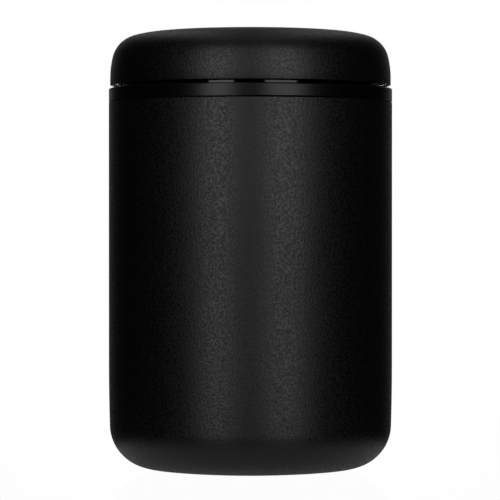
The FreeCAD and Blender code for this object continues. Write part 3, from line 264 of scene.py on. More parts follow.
def moulded(name, colour, roughness, pit=0.000004, worn=0.05, shine=0.5, polished_above=None):
    material, nodes, place = new_finish(name)
    pits = nodes.noise(place, PIT_SCALE)
    flow = nodes.noise(place, FLOW_SCALE, FLOW_DETAIL)
    lighter = (*(channel * FLOW_LIGHTENING for channel in colour[:3]), 1.0)
    skin = roughness + (flow - NOISE_MIDDLE) * worn + (pits - NOISE_MIDDLE) * PIT_DULLING
    if polished_above:
        height = nodes.add("ShaderNodeSeparateXYZ", {}, {"Vector": place}, "Z")
        satin = nodes.ramp(height, polished_above, polished_above + POLISH_EASE, 1.0, 0.0)
        skin = POLISH + (skin - POLISH) * satin
    coat_with(nodes, {
        "Base Color": nodes.mix(flow, colour, lighter),
        "Specular IOR Level": shine,
        "Roughness": skin,
        "Normal": nodes.bump(pits, pit, PIT_STRENGTH),
    })
    return material


collar_plastic = moulded(
    "satin_collar", grey(0.0012, 1.03), roughness=0.31, shine=0.33, polished_above=NECK_START
)
button_plastic = moulded("satin_button", grey(0.022, 1.03), roughness=0.36)
pump_plastic = moulded("grey_moulding", grey(0.075, 1.04), roughness=0.46)
bearing_plastic = moulded("white_bearing", (0.70, 0.69, 0.65, 1.0), roughness=0.38)
indicator_plastic = moulded("green_flag", (0.03, 0.30, 0.09, 1.0), roughness=0.30)
silicone = moulded("black_silicone", grey(0.035, 1.05), roughness=0.58, pit=0.000012, worn=0.12)
print("finish", collar_plastic.name, button_plastic.name, pump_plastic.name)
print("finish", bearing_plastic.name, indicator_plastic.name, silicone.name)

# %% [markdown]
# ### Dressing the CAD pieces
# The CAD pieces whose shape is right keep it, and only take on their finish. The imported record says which
# piece has which finish, so the list isn't written twice.

# %% Dress the CAD pieces
FINISHES = {
    "powder_coat": pot_coat,
    "collar_plastic": collar_plastic,
    "button_plastic": button_plastic,
    "pump_plastic": pump_plastic,
    "bearing_plastic": bearing_plastic,
    "indicator_plastic": indicator_plastic,
    "silicone": silicone,
    "steel": stock_steel,
}

for part in frame["record"]["subparts"]:
    piece = frame["nodes"][part["node"]]
    piece.data.materials.clear()
    piece.data.materials.append(FINISHES[part["material_slot"]])
print("dressed", len(frame["nodes"]), "CAD pieces")

# %% [markdown]
# ## Turned pieces
# Nearly everything here is round, as if from a lathe: an outline of radius and height, turned about the
# axis. By hand that is one vertex, extruded along the outline with E, and then Spin. Round stretches of an
# outline come from one function, so that an outline lists only the places where its shape changes.

# %% Lathe
SIDES = 192
MERGE = 1e-6


def arc(centre, radius, start, end, steps=4):
    """Points on an arc from one angle to another, in degrees, both ends included."""
    angles = [math.radians(start + (end - start) * k / steps) for k in range(steps + 1)]
    return [(centre[0] + radius * math.cos(a), centre[1] + radius * math.sin(a)) for a in angles]


def turn_on_lathe(name, outline, sides=SIDES):
    """Turns an outline of radius and height about the axis."""
    bpy.ops.object.select_all(action="DESELECT")
    bpy.ops.mesh.primitive_plane_add()
    piece = bpy.context.object
    piece.name = name
    bpy.ops.object.mode_set(mode="EDIT")
    bpy.ops.mesh.select_mode(type="VERT")
    bpy.ops.mesh.merge(type="CENTER")
    bpy.ops.transform.translate(value=(outline[0][0], 0, outline[0][1]))
    for (r0, z0), (r1, z1) in zip(outline, outline[1:]):
        bpy.ops.mesh.extrude_vertices_move(TRANSFORM_OT_translate={"value": (r1 - r0, 0, z1 - z0)})
    bpy.ops.mesh.select_all(action="SELECT")
    bpy.ops.mesh.spin(steps=sides, angle=2 * math.pi, center=(0, 0, 0), axis=(0, 0, 1))
    bpy.ops.mesh.select_all(action="SELECT")
    bpy.ops.mesh.remove_doubles(threshold=MERGE)
    bpy.ops.mesh.normals_make_consistent(inside=False)
    bpy.ops.object.mode_set(mode="OBJECT")
    return piece


print("lathe ready, a full turn has", SIDES, "steps")

# %% [markdown]
# ### Walls and rims
# Sheet metal has one thickness all over, and a Solidify modifier gives exactly that: only the outside of
# the sheet has to be drawn, and the inside gets a finish of its own. The cut edges are rounded with a small
# bevel. Edges that run round the axis are found by their radius and height, which in code is surer than
# picking them by eye.

# %% Walls and rims
TOUCH = 1e-5


def give_wall(piece, thickness, outside, inside):
    """Thickens a sheet inwards, with a finish for each side."""
    piece.data.materials.append(outside)
    piece.data.materials.append(inside)
    wall = piece.modifiers.new("wall", "SOLIDIFY")
    wall.thickness = thickness
    wall.offset = -1
    wall.use_even_offset = True
    wall.material_offset = 1
    bpy.ops.object.modifier_apply(modifier=wall.name)


def round_rings(piece, rings, width, segments=3):
    """Bevels the edges that run round the axis at these radii and heights."""
    bpy.ops.object.mode_set(mode="EDIT")
    bpy.ops.mesh.select_mode(type="EDGE")
    bpy.ops.mesh.select_all(action="DESELECT")
    bpy.ops.object.mode_set(mode="OBJECT")
    points = [(math.hypot(v.co.x, v.co.y), v.co.z) for v in piece.data.vertices]
    for edge in piece.data.edges:
        ends = [points[v] for v in edge.vertices]
        edge.select = any(all(math.dist(end, ring) < TOUCH for end in ends) for ring in rings)
    bpy.ops.object.mode_set(mode="EDIT")
    bpy.ops.mesh.bevel(offset=width, segments=segments, affect="EDGES")
    bpy.ops.object.mode_set(mode="OBJECT")


print("walls and rims ready")

# %% [markdown]
# ### Handing a piece over
# A finished piece is shaded smooth, except where its faces meet at a wide angle. It takes the finish of its
# slot if it has none yet, rides on the empty of its body, and the CAD solid it stands for is hidden. An
# operator acts on all that is selected, so one piece alone is picked first.

# %% Hand over
SMOOTH_ANGLE = math.radians(32)


def pick(piece):
    """Selects one piece alone and makes it active."""
    bpy.ops.object.select_all(action="DESELECT")
    piece.select_set(True)
    bpy.context.view_layer.objects.active = piece


def hand_over(piece, body, slot, node):
    """Smooths a finished piece, and lets it ride on its body in place of its CAD solid."""
    if len(piece.data.materials) == 0:
        piece.data.materials.append(FINISHES[slot])
    pick(piece)
    bpy.ops.object.shade_smooth_by_angle(angle=SMOOTH_ANGLE)
    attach(piece, body)
    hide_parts(node)
    print(piece.name, len(piece.data.polygons), "faces, rides on", body)


print("smooth up to", round(math.degrees(SMOOTH_ANGLE)), "degrees")

# %% [markdown]
# ### The pot
# The pot is drawn from one sheet of steel: a straight side that eases into a round lower corner, a slow
# sweep to the flat of the base, and a step up inside the foot ring. Only the outside is drawn here, from
# the middle of the base up to the rim. The inside stays bare steel.

# %% Pot
SHEET = 0.0008
EASE_RADIUS = 0.9
EASE_ANGLE = 1.75
CORNER_RADIUS = 0.0192
SWEEP_RADIUS = 0.06
SWEEP_ANGLE = 8.0
FOOT_INSET = 0.0004
STEP_ROUND = 0.0004
RIM_ROUND = 0.0003

pot_low, pot_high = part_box("canister_shell")
pot_radius, rim_height, base_height = pot_high.x, pot_high.z, pot_low.z
foot_low, foot_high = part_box("foot_ring")


def pot_outline():
    ease, sweep = math.radians(EASE_ANGLE), math.radians(SWEEP_ANGLE)
    corner = (
        pot_radius - EASE_RADIUS + (EASE_RADIUS - CORNER_RADIUS) * math.cos(ease),
        base_height + SWEEP_RADIUS - (SWEEP_RADIUS - CORNER_RADIUS) * math.cos(sweep),
    )
    flat = corner[0] - (SWEEP_RADIUS - CORNER_RADIUS) * math.sin(sweep)
    ease_height = corner[1] + (EASE_RADIUS - CORNER_RADIUS) * math.sin(ease)
    step = flat - SHEET - FOOT_INSET
    return [
        (0, foot_high.z),
        (step / 2, foot_high.z),
        *arc((step - STEP_ROUND, foot_high.z - STEP_ROUND), STEP_ROUND, 90, 0),
        *arc((step + STEP_ROUND, base_height + STEP_ROUND), STEP_ROUND, 180, 270),
        *arc((flat, base_height + SWEEP_RADIUS), SWEEP_RADIUS, -90, -90 + SWEEP_ANGLE, steps=3),
        *arc(corner, CORNER_RADIUS, -90 + SWEEP_ANGLE, -EASE_ANGLE, steps=20)[1:],
        *arc((pot_radius - EASE_RADIUS, ease_height), EASE_RADIUS, -EASE_ANGLE, 0)[1:],
        (pot_radius, (ease_height + rim_height) / 2),
        (pot_radius, rim_height),
    ]


pot = turn_on_lathe("pot", pot_outline())
give_wall(pot, SHEET, outside=pot_coat, inside=drawn_steel)
round_rings(pot, [(pot_radius, rim_height), (pot_radius - SHEET, rim_height)], RIM_ROUND)
hand_over(pot, "canister", "powder_coat", "canister_shell")

# %% [markdown]
# ### The cap
# The cap is pressed from the same sheet: a short straight edge, a side that leans in slowly, a round
# shoulder, and a crown that runs out into the flat top round the button. Its outline is a chain of arcs,
# each starting where the last one ends and in the same direction, so the light runs over it without a
# break. The cap is coated inside too, which keeps the gap under it dark.

# %% Cap
CAP_EDGE = 0.003
SIDE_RADIUS = 0.0416
SIDE_ANGLE = 13.2
SHOULDER_RADIUS = 0.0125
CROWN_RADIUS = 0.04
CROWN_ANGLE = 15.0
EDGE_ROUND = 0.00025
BEZEL_FIT = 0.00005

cap_low, cap_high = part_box("cap_shell")
cap_radius, cap_bottom, cap_top = cap_high.x, cap_low.z, cap_high.z
bezel_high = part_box("button_bezel")[1]


def cap_outline():
    side = math.radians(SIDE_ANGLE)
    side_centre = (cap_radius - SIDE_RADIUS, cap_bottom + CAP_EDGE)
    shoulder = (
        side_centre[0] + (SIDE_RADIUS - SHOULDER_RADIUS) * math.cos(side),
        side_centre[1] + (SIDE_RADIUS - SHOULDER_RADIUS) * math.sin(side),
    )
    flat = shoulder[0] - (CROWN_RADIUS - SHOULDER_RADIUS) * math.sin(math.radians(CROWN_ANGLE))
    return [
        (cap_radius, cap_bottom),
        *arc(side_centre, SIDE_RADIUS, 0, SIDE_ANGLE, steps=8),
        *arc(shoulder, SHOULDER_RADIUS, SIDE_ANGLE, 90 - CROWN_ANGLE, steps=14)[1:],
        *arc((flat, cap_top - CROWN_RADIUS), CROWN_RADIUS, 90 - CROWN_ANGLE, 90, steps=6)[1:],
        ((flat + bezel_high.x) / 2, cap_top),
        (bezel_high.x + BEZEL_FIT, cap_top),
    ]


cap = turn_on_lathe("cap", cap_outline())
give_wall(cap, SHEET, outside=cap_coat, inside=cap_coat)
round_rings(cap, [(cap_radius, cap_bottom), (cap_radius - SHEET, cap_bottom)], EDGE_ROUND)
hand_over(cap, "cap", "powder_coat", "cap_shell")

# %% [markdown]
# ### The foot ring
# A soft ring is pressed into the step of the base, so that the steel doesn't scratch the table. Its mould
# leaves round-bottomed grooves in the underside, which let air out and make it grip. The grooves are half
# circles in the outline, so the same turn of the lathe makes them.

# %% Foot ring
FOOT_WIDTH = 0.007
FOOT_ROUND = 0.0003
FOOT_GROOVES = 4
GROOVE_RADIUS = 0.00045


def foot_outline():
    outer, inner = foot_high.x, foot_high.x - FOOT_WIDTH
    pitch = FOOT_WIDTH / (FOOT_GROOVES + 1)
    grooves = []
    for k in range(FOOT_GROOVES):
        grooves += arc((inner + pitch * (k + 1), foot_low.z), GROOVE_RADIUS, 180, 0, steps=8)
    return [
        (inner, foot_high.z),
        *arc((inner + FOOT_ROUND, foot_low.z + FOOT_ROUND), FOOT_ROUND, 180, 270),
        *grooves,
        *arc((outer - FOOT_ROUND, foot_low.z + FOOT_ROUND), FOOT_ROUND, 270, 360),
        (outer, foot_high.z),
        (inner, foot_high.z),
    ]


foot = turn_on_lathe("foot", foot_outline())
hand_over(foot, "canister", "silicone", "foot_ring")

# %% [markdown]
# ### The finned gasket
# Three soft fins round the plug wipe the inside of the pot. Each is thick at the root and thin at the tip,
# and leans up, because pushing the lid in drags it that way. The lower side of a fin is drawn outwards,
# then its round tip, then its upper side back, and the next fin follows.

# %% Finned gasket
GASKET_BAND = 0.0015
GASKET_FINS = 3
FIN_REACH = 0.00205
FIN_ROOT = 0.0013
FIN_TIP = 0.0006
FIN_LEAN = 0.0005
FIN_STEPS = 6

gasket_low, gasket_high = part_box("lid_gasket")


def fin_side(face, middle, side):
    """One side of a fin from root to tip, -1 for the lower and 1 for the upper."""
    points = []
    for k in range(FIN_STEPS + 1):
        share = k / FIN_STEPS
        half = FIN_TIP / 2 + (FIN_ROOT - FIN_TIP) / 2 * (1 - share) ** 2
        reach = (FIN_REACH - FIN_TIP / 2) * share
        points.append((face + reach, middle + FIN_LEAN * share ** 2 + side * half))
    return points


def gasket_outline():
    face = gasket_high.x - FIN_REACH
    back = face - GASKET_BAND
    pitch = (gasket_high.z - gasket_low.z) / GASKET_FINS
    outline = [(back, gasket_low.z), (face, gasket_low.z)]
    for k in range(GASKET_FINS):
        middle = gasket_low.z + pitch * (k + 0.5)
        tip = (gasket_high.x - FIN_TIP / 2, middle + FIN_LEAN)
        outline += fin_side(face, middle, -1)
        outline += arc(tip, FIN_TIP / 2, -90, 90, FIN_STEPS)[1:-1]
        outline += reversed(fin_side(face, middle, 1))
    return [*outline, (face, gasket_high.z), (back, gasket_high.z), (back, gasket_low.z)]


gasket = turn_on_lathe("gasket", gasket_outline())
hand_over(gasket, "lid_base", "silicone", "lid_gasket")

# %% [markdown]
# ### The O-rings
# Four round cords seal the pump, the hub of the piston, the release valve and the indicator. Each is
# moulded in two halves, which leaves a fine ridge round the outside and the inside where the halves met.
# One outline serves all of them: two arcs of a slightly smaller circle, with the ridges between them.

# %% O-rings
RIDGE = 0.00003
RIDGE_HALF_ANGLE = 8
CORD_STEPS = 10


def o_ring(name, body, node, sides):
    low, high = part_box(node)
    cord = (high.z - low.z) / 2
    middle = (high.x - cord, (low.z + high.z) / 2)
    outline = [
        (middle[0] + cord, middle[1]),
        *arc(middle, cord - RIDGE, RIDGE_HALF_ANGLE, 180 - RIDGE_HALF_ANGLE, CORD_STEPS),
        (middle[0] - cord, middle[1]),
        *arc(middle, cord - RIDGE, 180 + RIDGE_HALF_ANGLE, 360 - RIDGE_HALF_ANGLE, CORD_STEPS),
        (middle[0] + cord, middle[1]),
    ]
    hand_over(turn_on_lathe(name, outline, sides), body, "silicone", node)


o_ring("pump_ring", "lid_base", "cylinder_seal", sides=160)
o_ring("hub_ring", "piston", "hub_seal", sides=96)
o_ring("release_ring", "button", "poppet_seal", sides=96)
o_ring("indicator_ring", "indicator", "indicator_seal", sides=64)

# %% [markdown]
# ### The lip seal of the piston
# The rim of the piston carries a soft cup: a low band that sits on the disc, and a lip that flares up and
# out to the wall of the cylinder. The air that is pumped presses the lip against the wall, so it seals on
# the way up and gives way on the way down. The tip of the lip is round.

# %% Lip seal
CUP_BACK = 0.00275
CUP_LIP = 0.0009
CUP_ROUND = 0.00025
CUP_SIDES = 160
LIP_LEAN_ANGLE = 10
LIP_TAPER_ANGLE = 15
THROAT_ANGLE = 50

cup_low, cup_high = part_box("piston_seal")


def cup_outline():
    back = cup_high.x - CUP_BACK
    middle = (cup_low.z + cup_high.z) / 2
    heel = (cup_high.x - CUP_LIP - CUP_ROUND, cup_low.z + CUP_ROUND)
    tip = (cup_high.x - CUP_LIP / 2, cup_high.z - CUP_LIP / 2)
    throat = (back + CUP_LIP, middle + CUP_ROUND)
    return [
        (back, cup_low.z),
        *arc(heel, CUP_ROUND, 270, 360 - LIP_LEAN_ANGLE),
        *arc(tip, CUP_LIP / 2, -LIP_LEAN_ANGLE, 180 - LIP_TAPER_ANGLE, steps=8),
        (throat[0] + CUP_ROUND, throat[1]),
        *arc(throat, CUP_ROUND, 270 + THROAT_ANGLE, 270, steps=3),
        (back, middle),
        (back, cup_low.z),
    ]


cup = turn_on_lathe("piston_cup", cup_outline(), CUP_SIDES)
hand_over(cup, "piston", "silicone", "piston_seal")

# %% [markdown]
# ### The check valves
# Air enters the pump and leaves it through two small umbrellas of silicone. The umbrella lies over a ring
# of holes, and its stalk is pulled through the middle until a bulb snaps out below. The rim is thin and
# lies flat; under the dome it is hollow, so that it springs back. It is turned on the axis and then slid
# out to its place. The mesh is moved in edit mode, so the origin of the piece stays on the axis.

# %% Check valves
DOME_RISE = 0.0014
DOME_RIM = 0.0005
DOME_HOLLOW = 0.0004
RIM_LAND = 0.0009
STALK_RADIUS = 0.0012
BULB_RADIUS = 0.0019
BULB_HEIGHT = 0.0018
BULB_ROUND = 0.0003
BULB_TAPER_ANGLE = 20
NOSE_SHARE = 0.55
UMBRELLA_SIDES = 64


def move_mesh(piece, step):
    """Moves the mesh of a piece, and leaves its origin where it is."""
    pick(piece)
    bpy.ops.object.mode_set(mode="EDIT")
    bpy.ops.mesh.select_all(action="SELECT")
    bpy.ops.transform.translate(value=step)
    bpy.ops.object.mode_set(mode="OBJECT")


def umbrella(name, body, node):
    low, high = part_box(node)
    reach = (high.x - low.x) / 2
    seat, shoulder = high.z - DOME_RISE, low.z + BULB_HEIGHT
    crown = DOME_RISE - DOME_RIM
    dome = (reach ** 2 + crown ** 2) / (2 * crown)
    lean = math.degrees(math.asin(reach / dome))
    valve = turn_on_lathe(name, [
        (0, low.z),
        (BULB_RADIUS * NOSE_SHARE, low.z),
        *arc((BULB_RADIUS - BULB_ROUND, shoulder - BULB_ROUND), BULB_ROUND, -BULB_TAPER_ANGLE, 90),
        (STALK_RADIUS, shoulder),
        (STALK_RADIUS, seat + DOME_HOLLOW),
        (reach - RIM_LAND, seat),
        *arc((reach - DOME_RIM / 2, seat + DOME_RIM / 2), DOME_RIM / 2, 270, 360),
        *arc((0, high.z - dome), dome, 90 - lean, 90, steps=8),
    ], UMBRELLA_SIDES)
    move_mesh(valve, ((low.x + high.x) / 2, 0, 0))
    hand_over(valve, body, "silicone", node)


umbrella("inlet_umbrella", "lid_base", "inlet_valve")
umbrella("outlet_umbrella", "piston", "outlet_valve")

# %% [markdown]
# ### The springs
# A spring is a circle of wire swept round the axis while it climbs, which is what the Screw modifier does.
# A real compression spring ends in a closed turn that lies on the next one, so it stands flat on its seat.
# That takes three sweeps: a closed turn, the open turns, and a closed turn. All of them start and end on
# the same side, so the circles where they meet fall together and are merged; then the two cut ends are
# filled.

# %% Winding wire
WIRE_SIDES = 12
TURN_STEPS = 40


def wind(name, radius, wire, start, pitch, turns, sides=WIRE_SIDES):
    """Sweeps a circle of wire round the axis while it climbs."""
    bpy.ops.object.select_all(action="DESELECT")
    bpy.ops.mesh.primitive_circle_add(
        vertices=sides, radius=wire / 2, location=(radius, 0, start), rotation=(math.pi / 2, 0, 0)
    )
    coil = bpy.context.object
    coil.name = name
    bpy.ops.object.transform_apply(location=True, rotation=True, scale=True)
    sweep = coil.modifiers.new("sweep", "SCREW")
    sweep.axis = "Z"
    sweep.angle = 2 * math.pi
    sweep.screw_offset = pitch
    sweep.iterations = turns
    sweep.steps = sweep.render_steps = TURN_STEPS
    sweep.use_merge_vertices = False
    bpy.ops.object.modifier_apply(modifier=sweep.name)
    return coil


def join(first, *others):
    """Joins the others to the first piece."""
    bpy.ops.object.select_all(action="DESELECT")
    for piece in (first, *others):
        piece.select_set(True)
    bpy.context.view_layer.objects.active = first
    bpy.ops.object.join()


def close_ends(coil):
    """Merges the circles where sweeps meet, and fills the cut ends of the wire."""
    bpy.ops.object.mode_set(mode="EDIT")
    bpy.ops.mesh.select_mode(type="VERT")
    bpy.ops.mesh.select_all(action="SELECT")
    bpy.ops.mesh.remove_doubles(threshold=MERGE)
    bpy.ops.mesh.fill_holes(sides=WIRE_SIDES)
    bpy.ops.mesh.select_all(action="SELECT")
    bpy.ops.mesh.normals_make_consistent(inside=False)
    bpy.ops.object.mode_set(mode="OBJECT")
    print("closed", coil.name)


print("wire is wound with", TURN_STEPS, "steps to a turn")

# %% [markdown]
# One spring pushes the button up again, and a finer one inside it pushes the indicator. Each is wound to
# the height that it has at rest.

# %% Springs
CLOSED_PITCH = 1.03


def coil_spring(name, body, node, wire, open_turns, travel):
    low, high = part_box(node)
    radius = high.x - wire / 2
    first = low.z + wire / 2
    closed = wire * CLOSED_PITCH
    pitch = (high.z - low.z - wire - 2 * closed) / open_turns
    bottom = wind(name, radius, wire, first, closed, 1)
    middle = wind(name, radius, wire, first + closed, pitch, open_turns)
    top = wind(name, radius, wire, high.z - wire / 2 - closed, closed, 1)
    join(bottom, middle, top)
    close_ends(bottom)
    hand_over(bottom, body, "steel", node)
    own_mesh(bottom)
    shut = high.z - low.z - travel
    print("  pitch", round(pitch * 1000, 2), "mm, closes to", round(shut * 1000, 2), "mm")


coil_spring(
    "release_spring", "cap", "button_spring",
    wire=0.0008, open_turns=5, travel=0.003,
)
coil_spring(
    "flag_spring", "button", "indicator_spring",
    wire=0.00045, open_turns=4, travel=0.0025,
)

# %% [markdown]
# ### The gauze
# A disc of woven wire keeps coffee dust out of the inlet valve. In a plain weave each wire goes over and
# under in turn, and its neighbour the other way. One wire is extruded from a small square, step by step up
# and down; two of them make the repeat, and an Array modifier makes the cloth.

# %% Weaving wire
GAUZE_WIRE = 0.00015
GAUZE_SWING = 0.0001
GAUZE_PITCH = 0.0009
GAUZE_WIRES = 24

gauze_start = GAUZE_PITCH * (1 - GAUZE_WIRES) / 2


def weave_wire(name, aside, phase):
    """One wire along X that swings up and down at every crossing."""
    start = (gauze_start, aside, GAUZE_SWING * phase)
    bpy.ops.object.select_all(action="DESELECT")
    bpy.ops.mesh.primitive_plane_add(size=GAUZE_WIRE, location=start, rotation=(0, math.pi / 2, 0))
    wire = bpy.context.object
    wire.name = name
    bpy.ops.object.transform_apply(location=True, rotation=True, scale=True)
    bpy.ops.object.mode_set(mode="EDIT")
    bpy.ops.mesh.select_mode(type="FACE")
    bpy.ops.mesh.select_all(action="SELECT")
    for k in range(GAUZE_WIRES - 1):
        swing = 2 * GAUZE_SWING * phase * (1 if k % 2 else -1)
        bpy.ops.mesh.extrude_region_move(TRANSFORM_OT_translate={"value": (GAUZE_PITCH, 0, swing)})
    bpy.ops.mesh.select_all(action="SELECT")
    bpy.ops.mesh.normals_make_consistent(inside=False)
    bpy.ops.object.mode_set(mode="OBJECT")
    return wire


def weave(name):
    """The wires of one direction: a wire and its neighbour, which swings the other way, repeated."""
    cloth = weave_wire(name, gauze_start, 1)
    join(cloth, weave_wire(name, gauze_start + GAUZE_PITCH, -1))
    rows = cloth.modifiers.new("rows", "ARRAY")
    rows.count = GAUZE_WIRES // 2
    rows.use_relative_offset = False
    rows.use_constant_offset = True
    rows.constant_offset_displace = (0, 2 * GAUZE_PITCH, 0)
    bpy.ops.object.modifier_apply(modifier=rows.name)
    return cloth


gauze = weave("gauze")
print("warp of", GAUZE_WIRES, "wires,", len(gauze.data.polygons), "faces")

# %% [markdown]
# A copy of the cloth turned by a quarter is the weft. Warp and weft together are cut round by a Boolean
# modifier, and a pressed rim, turned on the lathe, holds the edge. At the end the disc moves to its place
# under the inlet valve.

# %% Gauze
GAUZE_SIDES = 64
RIM_WIDTH = 0.0012


def turn_mesh(piece, angle, axis):
    """Turns the mesh of a piece about the origin."""
    pick(piece)
    bpy.ops.object.mode_set(mode="EDIT")
    bpy.ops.mesh.select_all(action="SELECT")
    bpy.ops.transform.rotate(value=angle, orient_axis=axis, center_override=(0, 0, 0))
    bpy.ops.object.mode_set(mode="OBJECT")


def cut_with(piece, tool, operation):
    """Cuts a piece with another shape, which is then thrown away."""
    pick(piece)
    cut = piece.modifiers.new("cut", "BOOLEAN")
    cut.operation = operation
    cut.solver = "EXACT"
    cut.object = tool
    bpy.ops.object.modifier_apply(modifier=cut.name)
    bpy.data.objects.remove(tool)


gauze_low, gauze_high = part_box("filter_screen")
gauze_place = ((gauze_low.x + gauze_high.x) / 2, 0, (gauze_low.z + gauze_high.z) / 2)
gauze_radius = (gauze_high.x - gauze_low.x) / 2
rim_half = (gauze_high.z - gauze_low.z) / 2

pick(gauze)
bpy.ops.object.duplicate()
weft = bpy.context.object
turn_mesh(weft, math.pi / 2, "Z")
join(gauze, weft)
bpy.ops.object.select_all(action="DESELECT")
bpy.ops.mesh.primitive_cylinder_add(
    radius=gauze_radius - RIM_WIDTH / 2, depth=RIM_WIDTH, vertices=GAUZE_SIDES
)
cut_with(gauze, bpy.context.object, "INTERSECT")

rim = turn_on_lathe("rim", [
    (gauze_radius - RIM_WIDTH, 0),
    *arc((gauze_radius - RIM_WIDTH + rim_half, 0), rim_half, 180, 270),
    *arc((gauze_radius - rim_half, 0), rim_half, 270, 450, steps=8),
    *arc((gauze_radius - RIM_WIDTH + rim_half, 0), rim_half, 90, 180),
], GAUZE_SIDES)
join(gauze, rim)
move_mesh(gauze, gauze_place)
hand_over(gauze, "lid_base", "steel", "filter_screen")

# %% [markdown]
# ### The screws
# Small screws hold the pump cylinder on the lid and the drive sleeve under the cap: a round head with a
# cross recess, and a thread that cuts its own way into the plastic. Core and head are turned, two bars cut
# the recess, and the thread is a triangle of wire wound on with a Screw modifier, like the springs. The top
# of the head is at the origin.

# %% One screw
SCREW_LENGTH = 0.0118
SCREW_CORE = 0.0011
SCREW_POINT = 0.0005
SCREW_SIDES = 32
HEAD_RADIUS = 0.0025
HEAD_HEIGHT = 0.0018
HEAD_ROUND = 0.0009
RECESS_REACH = 0.0028
RECESS_WIDTH = 0.0006
RECESS_DEPTH = 0.0011
THREAD_CREST = 0.0014
THREAD_PITCH = 0.0011
THREAD_TURNS = 8
THREAD_RUNOUT = 0.5
THREAD_SIDES = 3

screw = turn_on_lathe("screw", [
    (0, -SCREW_LENGTH),
    (SCREW_POINT, -SCREW_LENGTH),
    (SCREW_CORE, -SCREW_LENGTH + SCREW_CORE - SCREW_POINT),
    (SCREW_CORE, -HEAD_HEIGHT),
    (HEAD_RADIUS, -HEAD_HEIGHT),
    *arc((HEAD_RADIUS - HEAD_ROUND, -HEAD_ROUND), HEAD_ROUND, 0, 90, steps=6),
    (0, 0),
], SCREW_SIDES)
for length, width in ((RECESS_REACH, RECESS_WIDTH), (RECESS_WIDTH, RECESS_REACH)):
    bpy.ops.object.select_all(action="DESELECT")
    bpy.ops.mesh.primitive_cube_add(size=1, scale=(length, width, 2 * RECESS_DEPTH))
    cut_with(screw, bpy.context.object, "DIFFERENCE")

thread_start = -HEAD_HEIGHT - THREAD_PITCH * (THREAD_TURNS + THREAD_RUNOUT)
thread_wire = THREAD_CREST - SCREW_CORE
thread_radius = THREAD_CREST - thread_wire / 2
thread = wind("thread", thread_radius, thread_wire, thread_start, THREAD_PITCH, THREAD_TURNS, THREAD_SIDES)
join(screw, thread)
close_ends(screw)
print("screw", len(screw.data.polygons), "faces")

# %% [markdown]
# Both rings use the same screw, so it is copied round, each copy with a mesh of its own. The screws of the
# sleeve stand on their heads, because they are driven up into the cap. The one that was copied is thrown
# away.

# %% Rings of screws
def ring_of_screws(name, body, node, angles, heads_down):
    low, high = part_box(node)
    circle = max(high.x, high.y, -low.y) - HEAD_RADIUS
    ring = []
    for angle in angles:
        pick(screw)
        bpy.ops.object.duplicate()
        copy = bpy.context.object
        if heads_down:
            turn_mesh(copy, math.pi, "X")
        turn = math.radians(angle)
        seat = low.z if heads_down else high.z
        move_mesh(copy, (circle * math.cos(turn), circle * math.sin(turn), seat))
        ring.append(copy)
    join(*ring)
    ring[0].name = name
    hand_over(ring[0], body, "steel", node)


ring_of_screws("pump_screws", "lid_base", "cylinder_screws", angles=(0, 90, 180, 270), heads_down=False)
ring_of_screws("drive_screws", "cap", "sleeve_screws", angles=(30, 150, 270), heads_down=True)
bpy.data.objects.remove(screw)

# %% [markdown]
# ## Studio
# The canister is seen from the side through a long lens, from a little above the middle of the pot. The
# camera looks down by a fraction of a degree only, so upright edges stay upright.

# %% Camera
CAMERA_DISTANCE = 1.304
CAMERA_HEIGHT = 0.1063
CAMERA_ASIDE = -0.0002
CAMERA_DOWN = math.radians(0.414)
FOCAL_LENGTH = 212.5
SENSOR_WIDTH = 36.0

scene = bpy.context.scene
bpy.ops.object.camera_add(
    location=(CAMERA_ASIDE, -CAMERA_DISTANCE, CAMERA_HEIGHT), rotation=(math.pi / 2 - CAMERA_DOWN, 0, 0)
)
camera = bpy.context.object
camera.data.lens = FOCAL_LENGTH
camera.data.sensor_width = SENSOR_WIDTH
scene.camera = camera
print("camera", [round(x, 4) for x in camera.location])

# %% [markdown]
# ### Soft boxes
# Two tall soft boxes stand a little to the left and right of the camera. A black matte cylinder shows such
# boxes as two broad upright bands. A small lamp hides behind the canister and lights its back. Whatever the
# canister hides from the camera can't shine on the side that the camera sees.

# %% Soft boxes
BOX_DISTANCE = 1.1
BOX_HEIGHT = 0.95
BOX_MIDDLE = 0.46
BACK_DISTANCE = 0.5
BACK_HEIGHT = 0.2
BACK_MIDDLE = 0.11


def soft_box(name, angle, width, power, distance=BOX_DISTANCE, height=BOX_HEIGHT, middle=BOX_MIDDLE):
    """An upright lamp at an angle from the front, in degrees, that faces the axis."""
    turn = math.radians(angle)
    place = (distance * math.sin(turn), -distance * math.cos(turn), middle)
    bpy.ops.object.light_add(type="AREA", location=place, rotation=(math.pi / 2, 0, turn))
    lamp = bpy.context.object
    lamp.name = name
    lamp.data.shape = "RECTANGLE"
    lamp.data.size = width
    lamp.data.size_y = height
    lamp.data.energy = power
    lamp.visible_camera = False
    print("lamp", lamp.name, power, "W")


soft_box("left_box", angle=-25.2, width=0.42, power=3.2)
soft_box("right_box", angle=26.5, width=0.54, power=3.7)
soft_box(
    "back_lamp", angle=180, width=0.16, power=0.5,
    distance=BACK_DISTANCE, height=BACK_HEIGHT, middle=BACK_MIDDLE,
)

# %% [markdown]
# ### The room
# The room is the world: to the camera it is plain white. To everything else it is dark, as between black
# screens, so the flanks of the canister fall to black. Left in it are a narrow white card straight behind,
# a wide faint glow round it, a narrower glow that is brighter above the table than at it, and a pair of
# long soft lights overhead with a dark line between them, which show on the shoulder of the cap. All of
# them are read from the direction of the ray. The card also shows in gloss and through glass, and gives the
# thin line of light along the edges of the cap and the collar.

